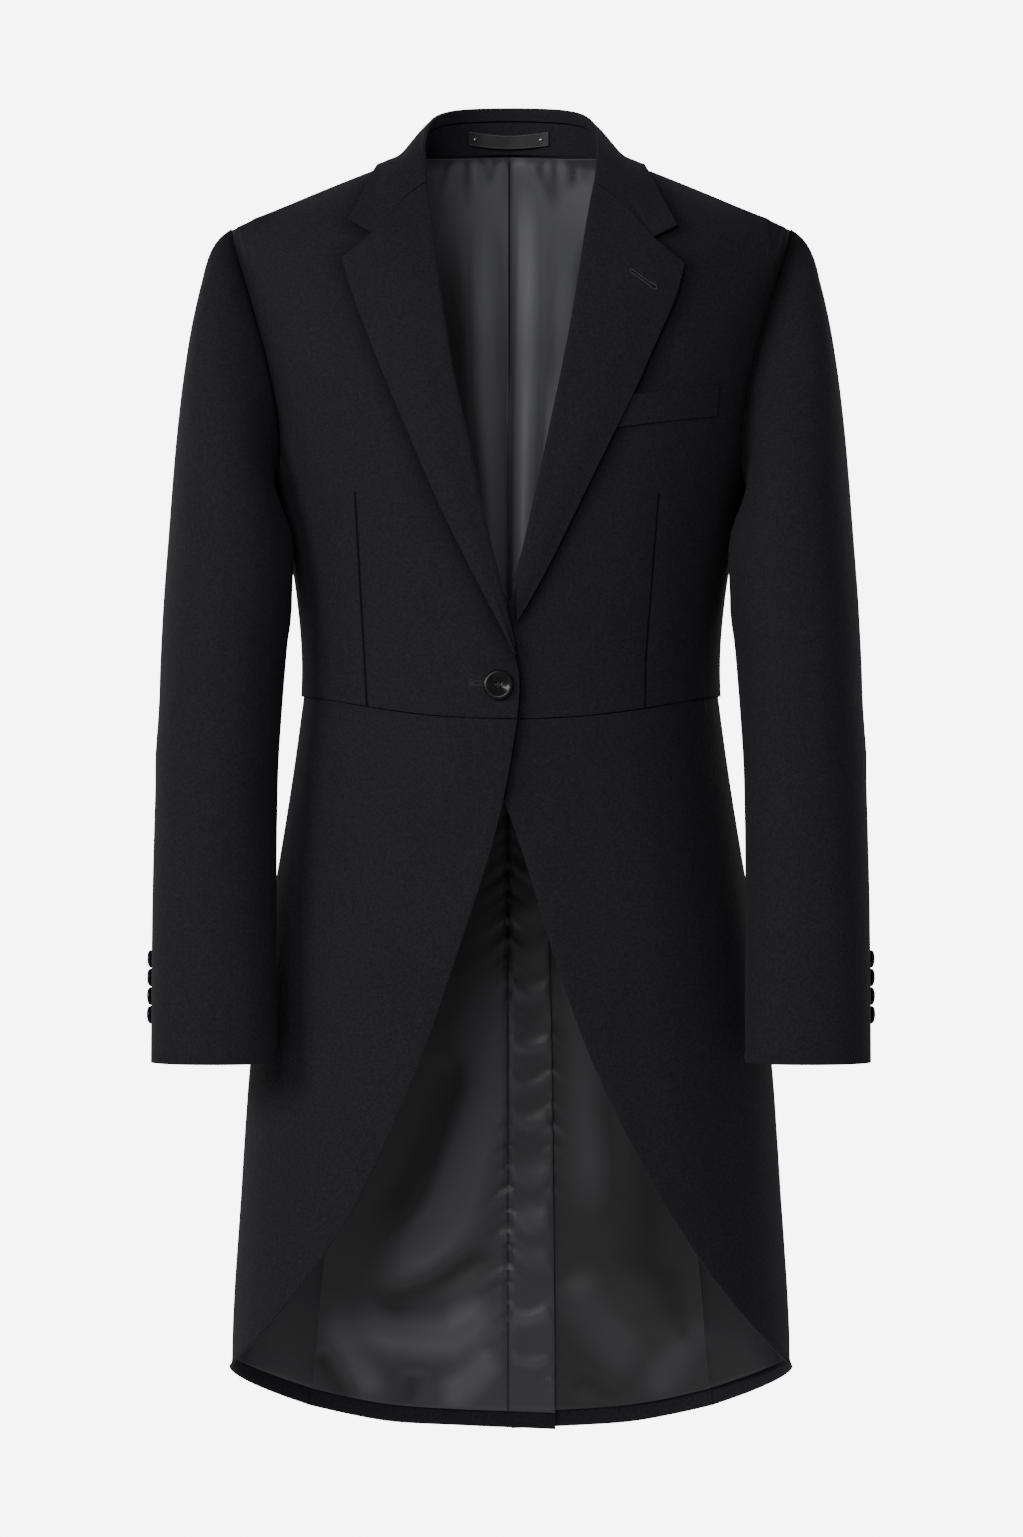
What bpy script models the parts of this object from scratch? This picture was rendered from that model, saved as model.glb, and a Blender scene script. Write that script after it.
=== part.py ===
"""Black single-breasted tailcoat with notch lapels and a rounded cutaway, filled out as if worn.

Tables and sizes are in millimetres and degrees, and the meshes are written in metres. Height is measured from
the base of the neck, which is the origin; +X is the wearer's left and the front faces -Y. An angle runs round
the body from the centre front (0) over the piece's own side (90) to the centre back (180). An own x is the
distance from the centre line towards the piece's own side.
"""

import math

import bmesh
import bpy
import numpy as np
from mathutils import Vector

MM = 0.001
RIGHT = -1
LEFT = 1
SIDE_NAMES = {RIGHT: "right", LEFT: "left"}

# Cloth and clearances
SHELL = 1.8
LEAF = 1.5
LINING = 0.8
WELT = 0.9
WELT_LIFT = 0.4
TRIM = 0.22
LEAF_TRIM = 0.35
LINING_GAP = 0.8
LEAF_LIFT = 3.2
COLLAR_LIFT = 2.5
COLLAR_TIP_LIFT = 3.6
STAND = 1.3
LAP_LIFT = 3.4
UNDERLAP_DROP = 4.4

# Horizontal sections of the filled coat, as superellipses
SECTION_POWER = 2.3
SECTIONS = (
    # height, half_width, front_depth, back_depth
    (16, 60, 36, 62),
    (8, 79, 40, 69),
    (0, 100, 44, 76),
    (-13, 132.5, 54, 85),
    (-26, 162, 64, 93),
    (-39, 192, 73, 100),
    (-51.5, 223.5, 81, 106),
    (-75, 221, 93, 114),
    (-100, 216, 104, 121),
    (-140, 209, 117, 128),
    (-180, 203, 126, 132),
    (-250, 190, 132, 133),
    (-300, 180, 130, 128),
    (-336, 173.2, 126, 122),
    (-400, 168.2, 121, 115),
    (-436, 170, 122, 116),
    (-484, 177, 124, 121),
    (-532, 184.3, 126, 127),
    (-640, 202, 127, 131),
    (-724, 212, 128, 133),
    (-820, 217.5, 129, 134),
    (-916, 223.5, 130, 134),
    (-1035, 227.5, 131, 134),
)

# Edges that run down the fronts, as own x on each side
FRONT_EDGE = (
    # height, right, left
    (-23, 65.5, 64.5),
    (-60, 60.5, 58.0),
    (-122, 52.7, 48.5),
    (-176, 44.0, 38.3),
    (-230, 31.6, 27.0),
    (-282, 21.6, 15.7),
    (-329, 10.0, 4.5),
    (-361, 2.3, -10.0),
    (-391, -4.4, -24.0),
    (-415, -7.6, -25.0),
    (-444, -5.0, -25.0),
)
ROLL_END = -391
ROLL_BACK = 4.9
CUTAWAY = (
    # height, right, left
    (-444, -5.0, -25.0),
    (-461, -3.2, -21.0),
    (-509, 5.2, -5.0),
    (-527, 9.5, 2.0),
    (-586, 28.0, 21.0),
    (-645, 48.0, 38.2),
    (-702, 67.0, 59.0),
    (-750, 87.5, 80.5),
    (-797, 108.5, 106.0),
    (-841, 130.0, 130.5),
    (-876, 157.0, 154.5),
    (-912, 184.5, 183.5),
    (-937, 205.5, 204.5),
    (-953, 220.0, 219.5),
)
CUTAWAY_CORNER = (84, -957)

# Seams and hems that both sides share, as angle and height
NECK_FRONT = ((90, 8), (57, 3.5), (42.5, -3), (29.5, -13), (21, -23))
NECK_BACK = ((180, 16), (155, 15), (128, 13), (107, 10), (90, 8))
SHOULDER = ((90, 8), (90, -12), (90, -32), (90, -51.5))
ARMHOLE = (
    (90, -51.5),
    (83, -63),
    (77.5, -86),
    (72, -124),
    (67.5, -160),
    (65.5, -190),
    (66.5, -220),
    (72, -247),
    (82, -259),
    (94, -262),
    (104, -254),
    (112, -232),
    (115.5, -200),
    (115, -165),
    (111, -125),
    (103.5, -84),
    (98, -62),
    (90, -51.5),
)
ARMHOLE_CELLS = 24
SIDE_SEAM_CELL = 12
BACK_SEAM_CELL = 16
SIDE_SEAM_FOOT = (95, -425)
SIDE_BACK_UPPER = ((131, -238), (146, -292), (157, -352), (164, -425))
SIDE_BACK_LOWER = ((164, -425), (157, -505), (150, -605), (143, -750), (138, -880), (135.2, -1006))
HEM = ((84, -957), (104, -974.5), (117, -987), (135.2, -1006), (147, -1016), (159, -1024.5), (180, -1030.5))
WAIST_SIDE = -425
WAIST_DIP = 19
WAIST_CURVE = 3.0
WAIST_GAP = 0.3
UNDERLAP_ANGLE = 7.2
VENT_TOP = -428
UNDERLAP_START = -384
LINING_HEM = 14
SHOULDER_EASE = 3.2
TIP_EASE = 5.2
SHOULDER_LIMIT = 94
CORNER_EASE = 1.5

# Cells of the panels
FRONT_NECK_CELLS = 3
BACK_NECK_CELLS = 4
SHOULDER_CELLS = 6
UPPER_CELLS = 8
TAIL_CELLS = 12
SIDE_BODY_COLUMNS = 4

# Lapels, as own x and height; the row order runs from the roll line outwards
GORGE = {
    RIGHT: ((67.8, -24), (74, -28), (83.2, -36.7), (107.9, -65.8)),
    LEFT: ((66.8, -24), (74.5, -30), (86.3, -40.5), (110.2, -69)),
}
LAPEL_TIP = {RIGHT: (132, -84.8), LEFT: (135.1, -88.8)}
LAPEL_EDGE = {
    RIGHT: ((132, -84.8), (122.2, -115.8), (105.4, -160), (82, -216.7), (52.4, -285), (23, -343.5), (5.4, -378),
            (-3.2, -396)),
    LEFT: ((135.1, -88.8), (130, -110.7), (113.3, -149.5), (94.3, -193), (78.7, -224.6), (49.3, -285),
           (20, -343.5), (5, -369)),
}
LAPEL_FOOT = {RIGHT: -389, LEFT: -338}
LAPEL_ROWS = 16
LAPEL_COLUMNS = 7
GORGE_CELLS = 4
LAPEL_BELLY = 1.6
CURL_REACH = 2.3
CURL = (
    # shift into the opening, lift
    (0.0, 0.3),
    (2.3, 1.7),
)
COLLAR_CURL = (
    # shift into the opening, lift
    (0.0, 0.3),
    (1.9, 0.9),
    (1.9, 2.4),
)

# Collar: the fold line round the neck, and the outer edge of the fall as angle and height
FOLD = (
    # own x, y, height
    (0, 60, 54.5),
    (24, 56, 53.5),
    (46, 44, 50),
    (62, 21, 40),
    (66.7, 0, 26),
    (68, -23, 12.9),
    (66.6, -48.5, -10),
    (65.5, -60, -22.5),
)
COLLAR_EDGE = ((180, 6), (150, 5), (120, 2.5), (90, -1.0), (65, -6), (40, -29))
COLLAR_TIP = {RIGHT: (127, -53), LEFT: (130, -58)}
COLLAR_COLUMNS = 14
FALL_BACK = ((60, 54.5), (66, 50), (70.5, 38), (74, 22), (75.5, 6))
FALL_BELLY = 2.2
STAND_SEAM = 0.28
STAND_RISE = 1.8
FOLD_ROLL = ((0.0, 0.0), (2.2, 0.9), (4.6, -1.2))

# Sleeves: sections below the cap and how far the cap stands out
SLEEVE = (
    # height, outer, inner, centre_y, half_depth
    (-300, 270.5, 173, -48, 62),
    (-340, 273.6, 173, -53, 61),
    (-420, 277, 178, -60, 57),
    (-500, 279.5, 182.5, -67, 52),
    (-600, 281, 182.5, -79, 46),
    (-711, 280.5, 181, -95, 38.5),
)
SLEEVE_POWER = 2.15
SLEEVE_START = 1.0
SLEEVE_CLEAR = 4.0
CAP_ROWS = 6
ARM_ROWS = 9
FOREARM_CELL = 8
HINDARM_CELL = 17
FOREARM_CUFF = 158
HINDARM_CUFF = 350
CAP_REACH = (
    # turn from the top of the armhole, outward reach, hold above the first section
    (0, 27, 130),
    (90, 22, 62),
    (180, 4, 10),
    (270, 22, 62),
    (360, 27, 130),
)

# Breast welt on the left forepart, as own x and height
WELT_TOP = ((88, -194), (162.4, -183.4))
WELT_FOOT = ((76, -219.8), (160, -207.6))
WELT_ROWS = 3
WELT_COLUMNS = 8

# Buttons: diameter, thickness
FRONT_BUTTON = (23, 3.6)
WAIST_BUTTON = (21, 3.6)
CUFF_BUTTON = (14.1, 3.0)
BUTTON_GAP = 0.4
FRONT_BUTTON_AT = (9.7, -418)
WAIST_BUTTON_AT = (161, -434)
CUFF_BUTTON_FIRST = -631.5
CUFF_BUTTON_STEP = 14.45
CUFF_BUTTONS = 4
CUFF_BUTTON_TURN = 347
BUTTON_PROFILE = (
    # share of the radius, share of the thickness
    (0.80, 0.0),
    (1.0, 0.3),
    (1.0, 0.7),
    (0.93, 1.0),
    (0.74, 0.95),
    (0.64, 0.62),
)
BUTTON_HOLES = (3.6, 1.9)

# Hanger loop on the collar stand, between two own x, and its pins
LOOP_ENDS = (-34, 30.5)
LOOP_WIDTH = 11.5
LOOP_CLOTH = 1.4
LOOP_STANDOFF = (0.5, 3.2)
LOOP_SAG = 2.6
LOOP_COLUMNS = 12
LOOP_HEIGHT = 29
STAND_BACK = 55
PIN = (3.0, 0.9)
PIN_AT = (-29, 24.5)

COLOURS = {
    "wool": ((0.013, 0.013, 0.016), 0.86, 0.0),
    "satin": ((0.035, 0.035, 0.040), 0.42, 0.0),
    "horn": ((0.011, 0.011, 0.013), 0.32, 0.0),
    "leather": ((0.016, 0.016, 0.018), 0.50, 0.0),
    "metal": ((0.42, 0.42, 0.43), 0.30, 1.0),
}


class Curve:
    """Smooth curves through the rows of a table, looked up by its first column."""

    def __init__(self, rows):
        data = np.array(sorted(rows, key=lambda row: row[0]), dtype=float)
        self.key = data[:, 0]
        self.value = data[:, 1:]
        slope = np.diff(self.value, axis=0) / np.diff(self.key)[:, None]
        before, after = slope[:-1], slope[1:]
        same = before * after > 0
        self.tangent = np.vstack([slope[:1], np.zeros_like(before), slope[-1:]])
        self.tangent[1:-1] = np.where(same, 2 * before * after / np.where(same, before + after, 1.0), 0.0)

    def __call__(self, key):
        key = np.clip(np.asarray(key, dtype=float), self.key[0], self.key[-1])
        i = np.clip(np.searchsorted(self.key, key) - 1, 0, len(self.key) - 2)
        width = (self.key[i + 1] - self.key[i])[..., None]
        t = ((key - self.key[i]) / width[..., 0])[..., None]
        return (
            self.value[i] * (1 + 2 * t) * (1 - t) ** 2
            + self.tangent[i] * width * t * (1 - t) ** 2
            + self.value[i + 1] * t**2 * (3 - 2 * t)
            + self.tangent[i + 1] * width * t**2 * (t - 1)
        )


SECTION = Curve(SECTIONS)
EDGE = Curve(FRONT_EDGE)
CUT = Curve(CUTAWAY)
CUFF_SECTION = Curve(SLEEVE)
REACH = Curve(CAP_REACH)


def smooth(value):
    """Ease from 0 to 1 as the value goes from 0 to 1."""
    t = np.clip(value, 0.0, 1.0)
    return t * t * (3 - 2 * t)


def column(side):
    """Column of a side in the tables that list both fronts."""
    return 0 if side == RIGHT else 1


def power(value, exponent):
    return np.sign(value) * np.abs(value) ** exponent


def ring(angle, height):
    """Points of the coat's outer face on the wearer's left."""
    half, front, back = np.moveaxis(SECTION(height), -1, 0)
    turn = np.radians(angle)
    depth = np.where(np.cos(turn) > 0, front, back)
    x = half * power(np.sin(turn), 2 / SECTION_POWER)
    y = -depth * power(np.cos(turn), 2 / SECTION_POWER)
    return np.stack([x, y, height + 0 * x], axis=-1)


def outward(points):
    """Unit normals of the coat's outer face, and the distance of each point from it."""
    x, y, height = np.moveaxis(points, -1, 0)
    step = 2.0
    half, front, back = np.moveaxis(SECTION(height), -1, 0)
    rise = (SECTION(height + step) - SECTION(height - step)) / (2 * step)
    depth = np.where(y < 0, front, back)
    depth_rise = np.where(y < 0, rise[..., 1], rise[..., 2])
    across = (np.abs(x) / half) ** SECTION_POWER
    along = (np.abs(y) / depth) ** SECTION_POWER
    slope = np.stack([
        SECTION_POWER * power(x / half, SECTION_POWER - 1) / half,
        SECTION_POWER * power(y / depth, SECTION_POWER - 1) / depth,
        -SECTION_POWER * (across * rise[..., 0] / half + along * depth_rise / depth),
    ], axis=-1)
    size = np.linalg.norm(slope, axis=-1, keepdims=True)
    return slope / size, (across + along - 1) / size[..., 0]


def body(angle, height, lift=0.0):
    """Points at a lift over the coat's outer face, on the wearer's left."""
    points = ring(np.asarray(angle, dtype=float), np.asarray(height, dtype=float))
    return points + outward(points)[0] * np.asarray(lift, dtype=float)[..., None]


def angle_at(own_x, height):
    """Angle of the point of the front that has this own x."""
    half = SECTION(height)[..., 0]
    share = np.clip(np.abs(own_x) / half, 0, 1)
    return np.sign(own_x) * np.degrees(np.arcsin(share ** (SECTION_POWER / 2)))


def front_points(own, lift):
    """Points over the front from own x and height."""
    return body(angle_at(own[..., 0], own[..., 1]), own[..., 1], lift)


def keep_off(points, distance):
    """Push points out until they lie at a distance from the coat's outer face."""
    for _ in range(4):
        normal, gap = outward(points)
        points = points + normal * np.maximum(distance - gap, 0)[..., None]
    return points


def through(points, weights=None):
    """Smooth line through points, as a function of the fraction of its length."""
    points = np.array(points, dtype=float)
    scaled = points * (weights if weights is not None else 1.0)
    run = np.concatenate([[0], np.cumsum(np.linalg.norm(np.diff(scaled, axis=0), axis=1))])
    return Curve(np.column_stack([run / run[-1], points]))


def cells(points, count, weights=None):
    """Evenly spaced points along a smooth line."""
    return through(points, weights)(np.linspace(0, 1, count + 1))


ROUND = np.array([2.6, 1.0])


def join(*lines):
    """One line from several that meet end to end."""
    return np.vstack([lines[0]] + [line[1:] for line in lines[1:]])


def fill(bottom, top, inner, outer, shares=None):
    """Grid between four edges: rows run from bottom to top, columns from inner to outer."""
    u = (np.linspace(0, 1, len(bottom)) if shares is None else shares)[None, :, None]
    v = np.linspace(0, 1, len(inner))[:, None, None]
    corners = (
        (1 - u) * (1 - v) * bottom[0] + u * (1 - v) * bottom[-1] + (1 - u) * v * top[0] + u * v * top[-1]
    )
    return (1 - v) * bottom + v * top + (1 - u) * inner[:, None] + u * outer[:, None] - corners


def trim(grid, distance=TRIM):
    """Draw the border of a grid of points inwards, which leaves the gap at a seam."""
    grid = grid.copy()
    for axis in (0, 1):
        lines = np.moveaxis(grid, axis, 0)
        for edge, inside in ((0, 1), (-1, -2)):
            step = lines[inside] - lines[edge]
            length = np.linalg.norm(step, axis=-1, keepdims=True)
            lines[edge] += step * np.minimum(distance / np.maximum(length, 1e-6), 0.3)
    return grid


def grid_normals(grid):
    """Unit normals of a grid of points, across its columns and up its rows."""
    along = np.gradient(grid, axis=1)
    up = np.gradient(grid, axis=0)
    normal = np.cross(along, up)
    return normal / np.maximum(np.linalg.norm(normal, axis=-1, keepdims=True), 1e-9)


def material(kind):
    colour, roughness, metallic = COLOURS[kind]
    made = bpy.data.materials.new(kind)
    made.use_nodes = True
    shader = made.node_tree.nodes["Principled BSDF"]
    shader.inputs["Base Color"].default_value = (*colour, 1.0)
    shader.inputs["Roughness"].default_value = roughness
    shader.inputs["Metallic"].default_value = metallic
    return made


def add_object(name, kind, bm, sharp=40):
    """Object of a closed mesh, with outward faces and its own material."""
    bmesh.ops.recalc_face_normals(bm, faces=bm.faces)
    mesh = bpy.data.meshes.new(name)
    bm.to_mesh(mesh)
    bm.free()
    mesh.shade_smooth()
    mesh.set_sharp_from_angle(angle=math.radians(sharp))
    mesh.materials.append(material(kind))
    made = bpy.data.objects.new(name, mesh)
    bpy.context.scene.collection.objects.link(made)
    return made


def wall(name, kind, outer, inner, side=LEFT):
    """Closed wall between two grids of points."""
    flip = np.array([side, 1, 1]) * MM
    rows, columns = outer.shape[:2]
    bm = bmesh.new()
    faces = [[[bm.verts.new(p * flip) for p in row] for row in grid] for grid in (outer, inner)]
    for grid in faces:
        for i in range(rows - 1):
            for j in range(columns - 1):
                bm.faces.new((grid[i][j], grid[i][j + 1], grid[i + 1][j + 1], grid[i + 1][j]))
    border = [(0, j) for j in range(columns)] + [(i, columns - 1) for i in range(1, rows)]
    border += [(rows - 1, j) for j in range(columns - 2, -1, -1)] + [(i, 0) for i in range(rows - 2, 0, -1)]
    for (i, j), (k, m) in zip(border, border[1:] + border[:1]):
        bm.faces.new((faces[0][i][j], faces[0][k][m], faces[1][k][m], faces[1][i][j]))
    return add_object(name, kind, bm)


def lap(own_x, height):
    """Lift of the right front where it lies over the left one."""
    return LAP_LIFT * smooth((48 - own_x) / 20) * smooth((-285 - height) / 60)


def underlap(angle, height):
    """Drop of the right tail where it lies inside the left one, below the top of the vent."""
    return -UNDERLAP_DROP * smooth((angle - 172) / 6) * smooth((UNDERLAP_START - height) / 40)


def shell_lift(angle, height, side, early=0.0):
    """Lift of the shell over the plain form, which only the right side's laps need."""
    if side == LEFT:
        return np.zeros_like(angle)
    own_x = ring(angle, height)[..., 0]
    fore = np.where(np.abs(angle) < 90, lap(own_x, height), 0.0)
    return fore + underlap(angle + early, height)


def cloth(name, kind, grid, side, top=0.0, thickness=SHELL, early=0.0):
    """Wall on the coat's form from a grid of angle and height, its outer face at a lift."""
    angle, height = grid[..., 0], grid[..., 1]
    lift = shell_lift(angle, height, side, early) + top
    outer = trim(body(angle, height, lift))
    normal = outward(outer)[0]
    return wall(name, kind, outer, outer - normal * thickness, side)


def front_shares(count):
    """Shares of a front panel's width at its columns, which lie closer near the front edge."""
    even = np.linspace(0, 1, count + 1)
    return 0.45 * even + 0.55 * even**2


def waist_line(inner_angle, outer_angle, shares):
    """Waist seam between two angles."""
    angle = inner_angle + (outer_angle - inner_angle) * shares
    dip = np.clip(np.cos(np.radians(angle)), 0, 1) ** WAIST_CURVE
    return np.column_stack([angle, WAIST_SIDE - WAIST_DIP * dip])


def armhole():
    return cells(ARMHOLE, ARMHOLE_CELLS, ROUND)


def side_back_upper():
    """Seam from the armhole down to the waist, from the shared armhole point."""
    start = tuple(armhole()[BACK_SEAM_CELL])
    return cells((start,) + SIDE_BACK_UPPER, UPPER_CELLS, ROUND)


def side_back_lower():
    return cells(SIDE_BACK_LOWER, TAIL_CELLS, ROUND)


def side_seam():
    """Seam from the armhole down to the waist."""
    start = tuple(armhole()[SIDE_SEAM_CELL])
    return cells((start, SIDE_SEAM_FOOT), UPPER_CELLS, ROUND)


def front_edge(side, count):
    """Front edge and roll line of a forepart, from the waist up, as angle and height."""
    heights = np.linspace(FRONT_EDGE[-1][0], FRONT_EDGE[0][0], count + 1)
    own_x = EDGE(heights)[..., column(side)]
    own_x = own_x + ROLL_BACK * smooth((heights - ROLL_END) / 12)
    return np.column_stack([angle_at(own_x, heights), heights])


def cutaway(side, count):
    """Edge of a skirt from the waist down to its corner, as angle and height."""
    key = np.array([row[0] for row in CUTAWAY], dtype=float)
    own_x = np.array([row[1 + column(side)] for row in CUTAWAY], dtype=float)
    points = [tuple(p) for p in np.column_stack([angle_at(own_x, key), key])] + [CUTAWAY_CORNER]
    return cells(points, count, ROUND)


def span(first, last, count):
    """Evenly spaced points between two."""
    return np.linspace(first, last, count + 1)


def shared_span(first, last, shares):
    """Points between two, at shares of the way."""
    return first + (last - first) * shares[:, None]


def forepart_grid(side):
    """Forepart from the waist seam up to the neck and shoulder, columns from the front edge outwards."""
    columns = FRONT_NECK_CELLS + SHOULDER_CELLS
    edge = front_edge(side, UPPER_CELLS + SIDE_SEAM_CELL)
    low, high = edge[: UPPER_CELLS + 1].copy(), edge[UPPER_CELLS:]
    seam, hole = side_seam()[::-1], armhole()[: SIDE_SEAM_CELL + 1][::-1]
    shares = front_shares(columns)
    waist = waist_line(low[0, 0], seam[0, 0], shares)
    low[0], seam[0] = waist[0], waist[-1]
    chest = shared_span(high[0], hole[0], shares)
    neck = cells([tuple(high[-1])] + list(NECK_FRONT[::-1][1:]), FRONT_NECK_CELLS, ROUND)
    top = join(neck, cells(SHOULDER, SHOULDER_CELLS, ROUND))
    return join(fill(waist, chest, low, seam, shares), fill(chest, top, high, hole, shares))


def side_body_grid():
    top = armhole()[SIDE_SEAM_CELL : BACK_SEAM_CELL + 1]
    inner, outer = side_seam()[::-1], side_back_upper()[::-1]
    bottom = waist_line(inner[0, 0], outer[0, 0], np.linspace(0, 1, SIDE_BODY_COLUMNS + 1))
    inner[0], outer[0] = bottom[0], bottom[-1]
    return fill(bottom, top, inner, outer)


def skirt_grid(side):
    """Skirt from its hem up to the waist seam, columns from the cut edge to the side-back seam."""
    columns = FRONT_NECK_CELLS + SHOULDER_CELLS
    inner, outer = cutaway(side, TAIL_CELLS)[::-1], side_back_lower()[::-1]
    shares = front_shares(columns)
    bottom = through(HEM[:4], ROUND)(shares)
    top = waist_line(inner[-1, 0], outer[-1, 0], shares) - np.array([0, WAIST_GAP])
    inner[-1], outer[-1] = top[0], top[-1]
    return fill(bottom, top, inner, outer, shares)


def centre_back(side):
    """Centre back of the tail from the hem to the waist, with the underlap of the right tail."""
    heights = span(HEM[-1][1], WAIST_SIDE, TAIL_CELLS)
    angles = np.full_like(heights, 180.0)
    if side == RIGHT:
        angles += UNDERLAP_ANGLE * smooth((VENT_TOP - heights) / 8)
    return np.column_stack([angles, heights])


def back_grid(side):
    """Back and tail from the hem up to the neck and shoulder, columns from the centre outwards."""
    columns = BACK_NECK_CELLS + SHOULDER_CELLS
    tail = centre_back(side)
    hem = cells((tuple(tail[0]),) + HEM[-2:2:-1], columns, ROUND)
    waist = span(tail[-1], np.array(SIDE_BACK_LOWER[0]), columns)
    low = fill(hem, waist, tail, side_back_lower()[::-1])
    seam, hole = side_back_upper()[::-1], armhole()[BACK_SEAM_CELL:]
    chest = span((180.0, hole[0, 1]), hole[0], columns)
    middle = fill(waist, chest, span(waist[0], chest[0], UPPER_CELLS), seam)
    top = join(cells(NECK_BACK, BACK_NECK_CELLS, ROUND), cells(SHOULDER, SHOULDER_CELLS, ROUND))
    high = fill(chest, top, span(chest[0], top[0], len(hole) - 1), hole)
    return join(low, middle, high)


def raise_hem(grid):
    """Grid with its first row drawn up by the lining's distance from the hem."""
    grid = grid.copy()
    step = grid[1] - grid[0]
    grid[0] += step * np.minimum(LINING_HEM / np.maximum(np.abs(step[:, 1:]), 1.0), 0.8)
    return grid


def add_panels(side):
    name = SIDE_NAMES[side]
    cloth(f"forepart_{name}", "wool", forepart_grid(side), side)
    cloth(f"side_body_{name}", "wool", side_body_grid(), side)
    cloth(f"skirt_{name}", "wool", skirt_grid(side), side)
    cloth(f"back_{name}", "wool", back_grid(side), side)


def add_linings(side):
    """Back lining from the neck to the tail's hem, and skirt lining beside it."""
    name = SIDE_NAMES[side]
    back = raise_hem(back_grid(side))[:, ::2]
    tip = smooth((-25 - back[..., 1]) / 15) * smooth((back[..., 1] + 150) / 40)
    back[..., 0] = np.maximum(back[..., 0], 90 + (SHOULDER_LIMIT - 90) * tip)
    below_neck = smooth((-2 - back[..., 1]) / 20)
    shoulder = below_neck * smooth((back[..., 1] + 115) / 40) * smooth((145 - back[..., 0]) / 25)
    inside = -SHELL - LINING_GAP - SHOULDER_EASE * shoulder - TIP_EASE * tip
    cloth(f"back_lining_{name}", "satin", back, side, inside, LINING, early=6)
    skirt = raise_hem(skirt_grid(side))[:, ::-2][:, ::-1]
    corner = smooth((-860 - skirt[..., 1]) / 60) * smooth((130 - skirt[..., 0]) / 30)
    inside = -SHELL - LINING_GAP - CORNER_EASE * corner
    cloth(f"skirt_lining_{name}", "satin", skirt, side, inside, LINING)


def gorge_line(side):
    return cells(GORGE[side], GORGE_CELLS)


def lapel_grid(side):
    """Leaf of a lapel as own x and height, from its foot up to the gorge and notch."""
    heights = np.linspace(LAPEL_FOOT[side], FRONT_EDGE[0][0], LAPEL_ROWS + 1)
    inner = np.column_stack([EDGE(heights)[..., column(side)] + CURL_REACH, heights])
    outer = cells(LAPEL_EDGE[side][::-1], LAPEL_ROWS)
    tip = span(GORGE[side][-1], LAPEL_TIP[side], LAPEL_COLUMNS - GORGE_CELLS)
    top = join(gorge_line(side), tip)
    inner[-1] = top[0]
    bottom = np.linspace(inner[0], outer[0], LAPEL_COLUMNS + 1)
    return fill(bottom, top, inner, outer)


def leaf_points(grid, side):
    """Visible face of a lapel: the leaf over the forepart, and the roll at its inner edge."""
    share = np.linspace(0, 1, grid.shape[1])
    base = lap(grid[..., 0], grid[..., 1]) if side == RIGHT else np.zeros(grid.shape[:2])
    lift = base + LEAF_LIFT + LAPEL_BELLY * np.sin(math.pi * share) ** 2
    leaf = front_points(grid, lift)
    curl = []
    for shift, height in CURL:
        moved = grid[:, :1] - np.array([shift, 0.0])
        curl.append(front_points(moved, base[:, :1] + height))
    return np.concatenate(curl + [leaf], axis=1)


def add_lapel(side):
    outer = trim(leaf_points(lapel_grid(side), side), LEAF_TRIM)
    normal = grid_normals(outer)
    wall(f"lapel_{SIDE_NAMES[side]}", "wool", outer, outer - normal * LEAF, side)


def neck_line(side):
    """Points on the inside of the panels' neckline, from the centre back to the gorge."""
    start = tuple(front_edge(side, 1)[-1])
    front = cells(list(NECK_FRONT[:-1]) + [start], FRONT_NECK_CELLS, ROUND)
    line = join(cells(NECK_BACK, BACK_NECK_CELLS, ROUND), front)
    points = body(line[:, 0], line[:, 1], np.full(len(line), -SHELL - 0.8))
    place = np.linspace(0, len(points) - 1, COLLAR_COLUMNS + 1)
    return np.column_stack([np.interp(place, np.arange(len(points)), axis) for axis in points.T])


def fold_line():
    """Fold of the collar from the centre back to the gorge."""
    return cells(FOLD, COLLAR_COLUMNS)


def below_fold(side, gap):
    """Line inside the neck below the fold, a share of the way to the neckline and a gap past it."""
    fold = fold_line()
    down = neck_line(side) + np.array([0, 0, STAND_RISE]) - fold
    length = np.linalg.norm(down, axis=1, keepdims=True)
    return fold + down * (STAND_SEAM + gap / length)


def stand_grid(side):
    """Visible face of the collar stand on one side, rows from the neckline up."""
    foot = neck_line(side) + np.array([0, 0, STAND_RISE])
    share = np.linspace(0, 1, 4)[:, None, None]
    return foot * (1 - share) + below_fold(side, 0.3) * share


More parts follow.
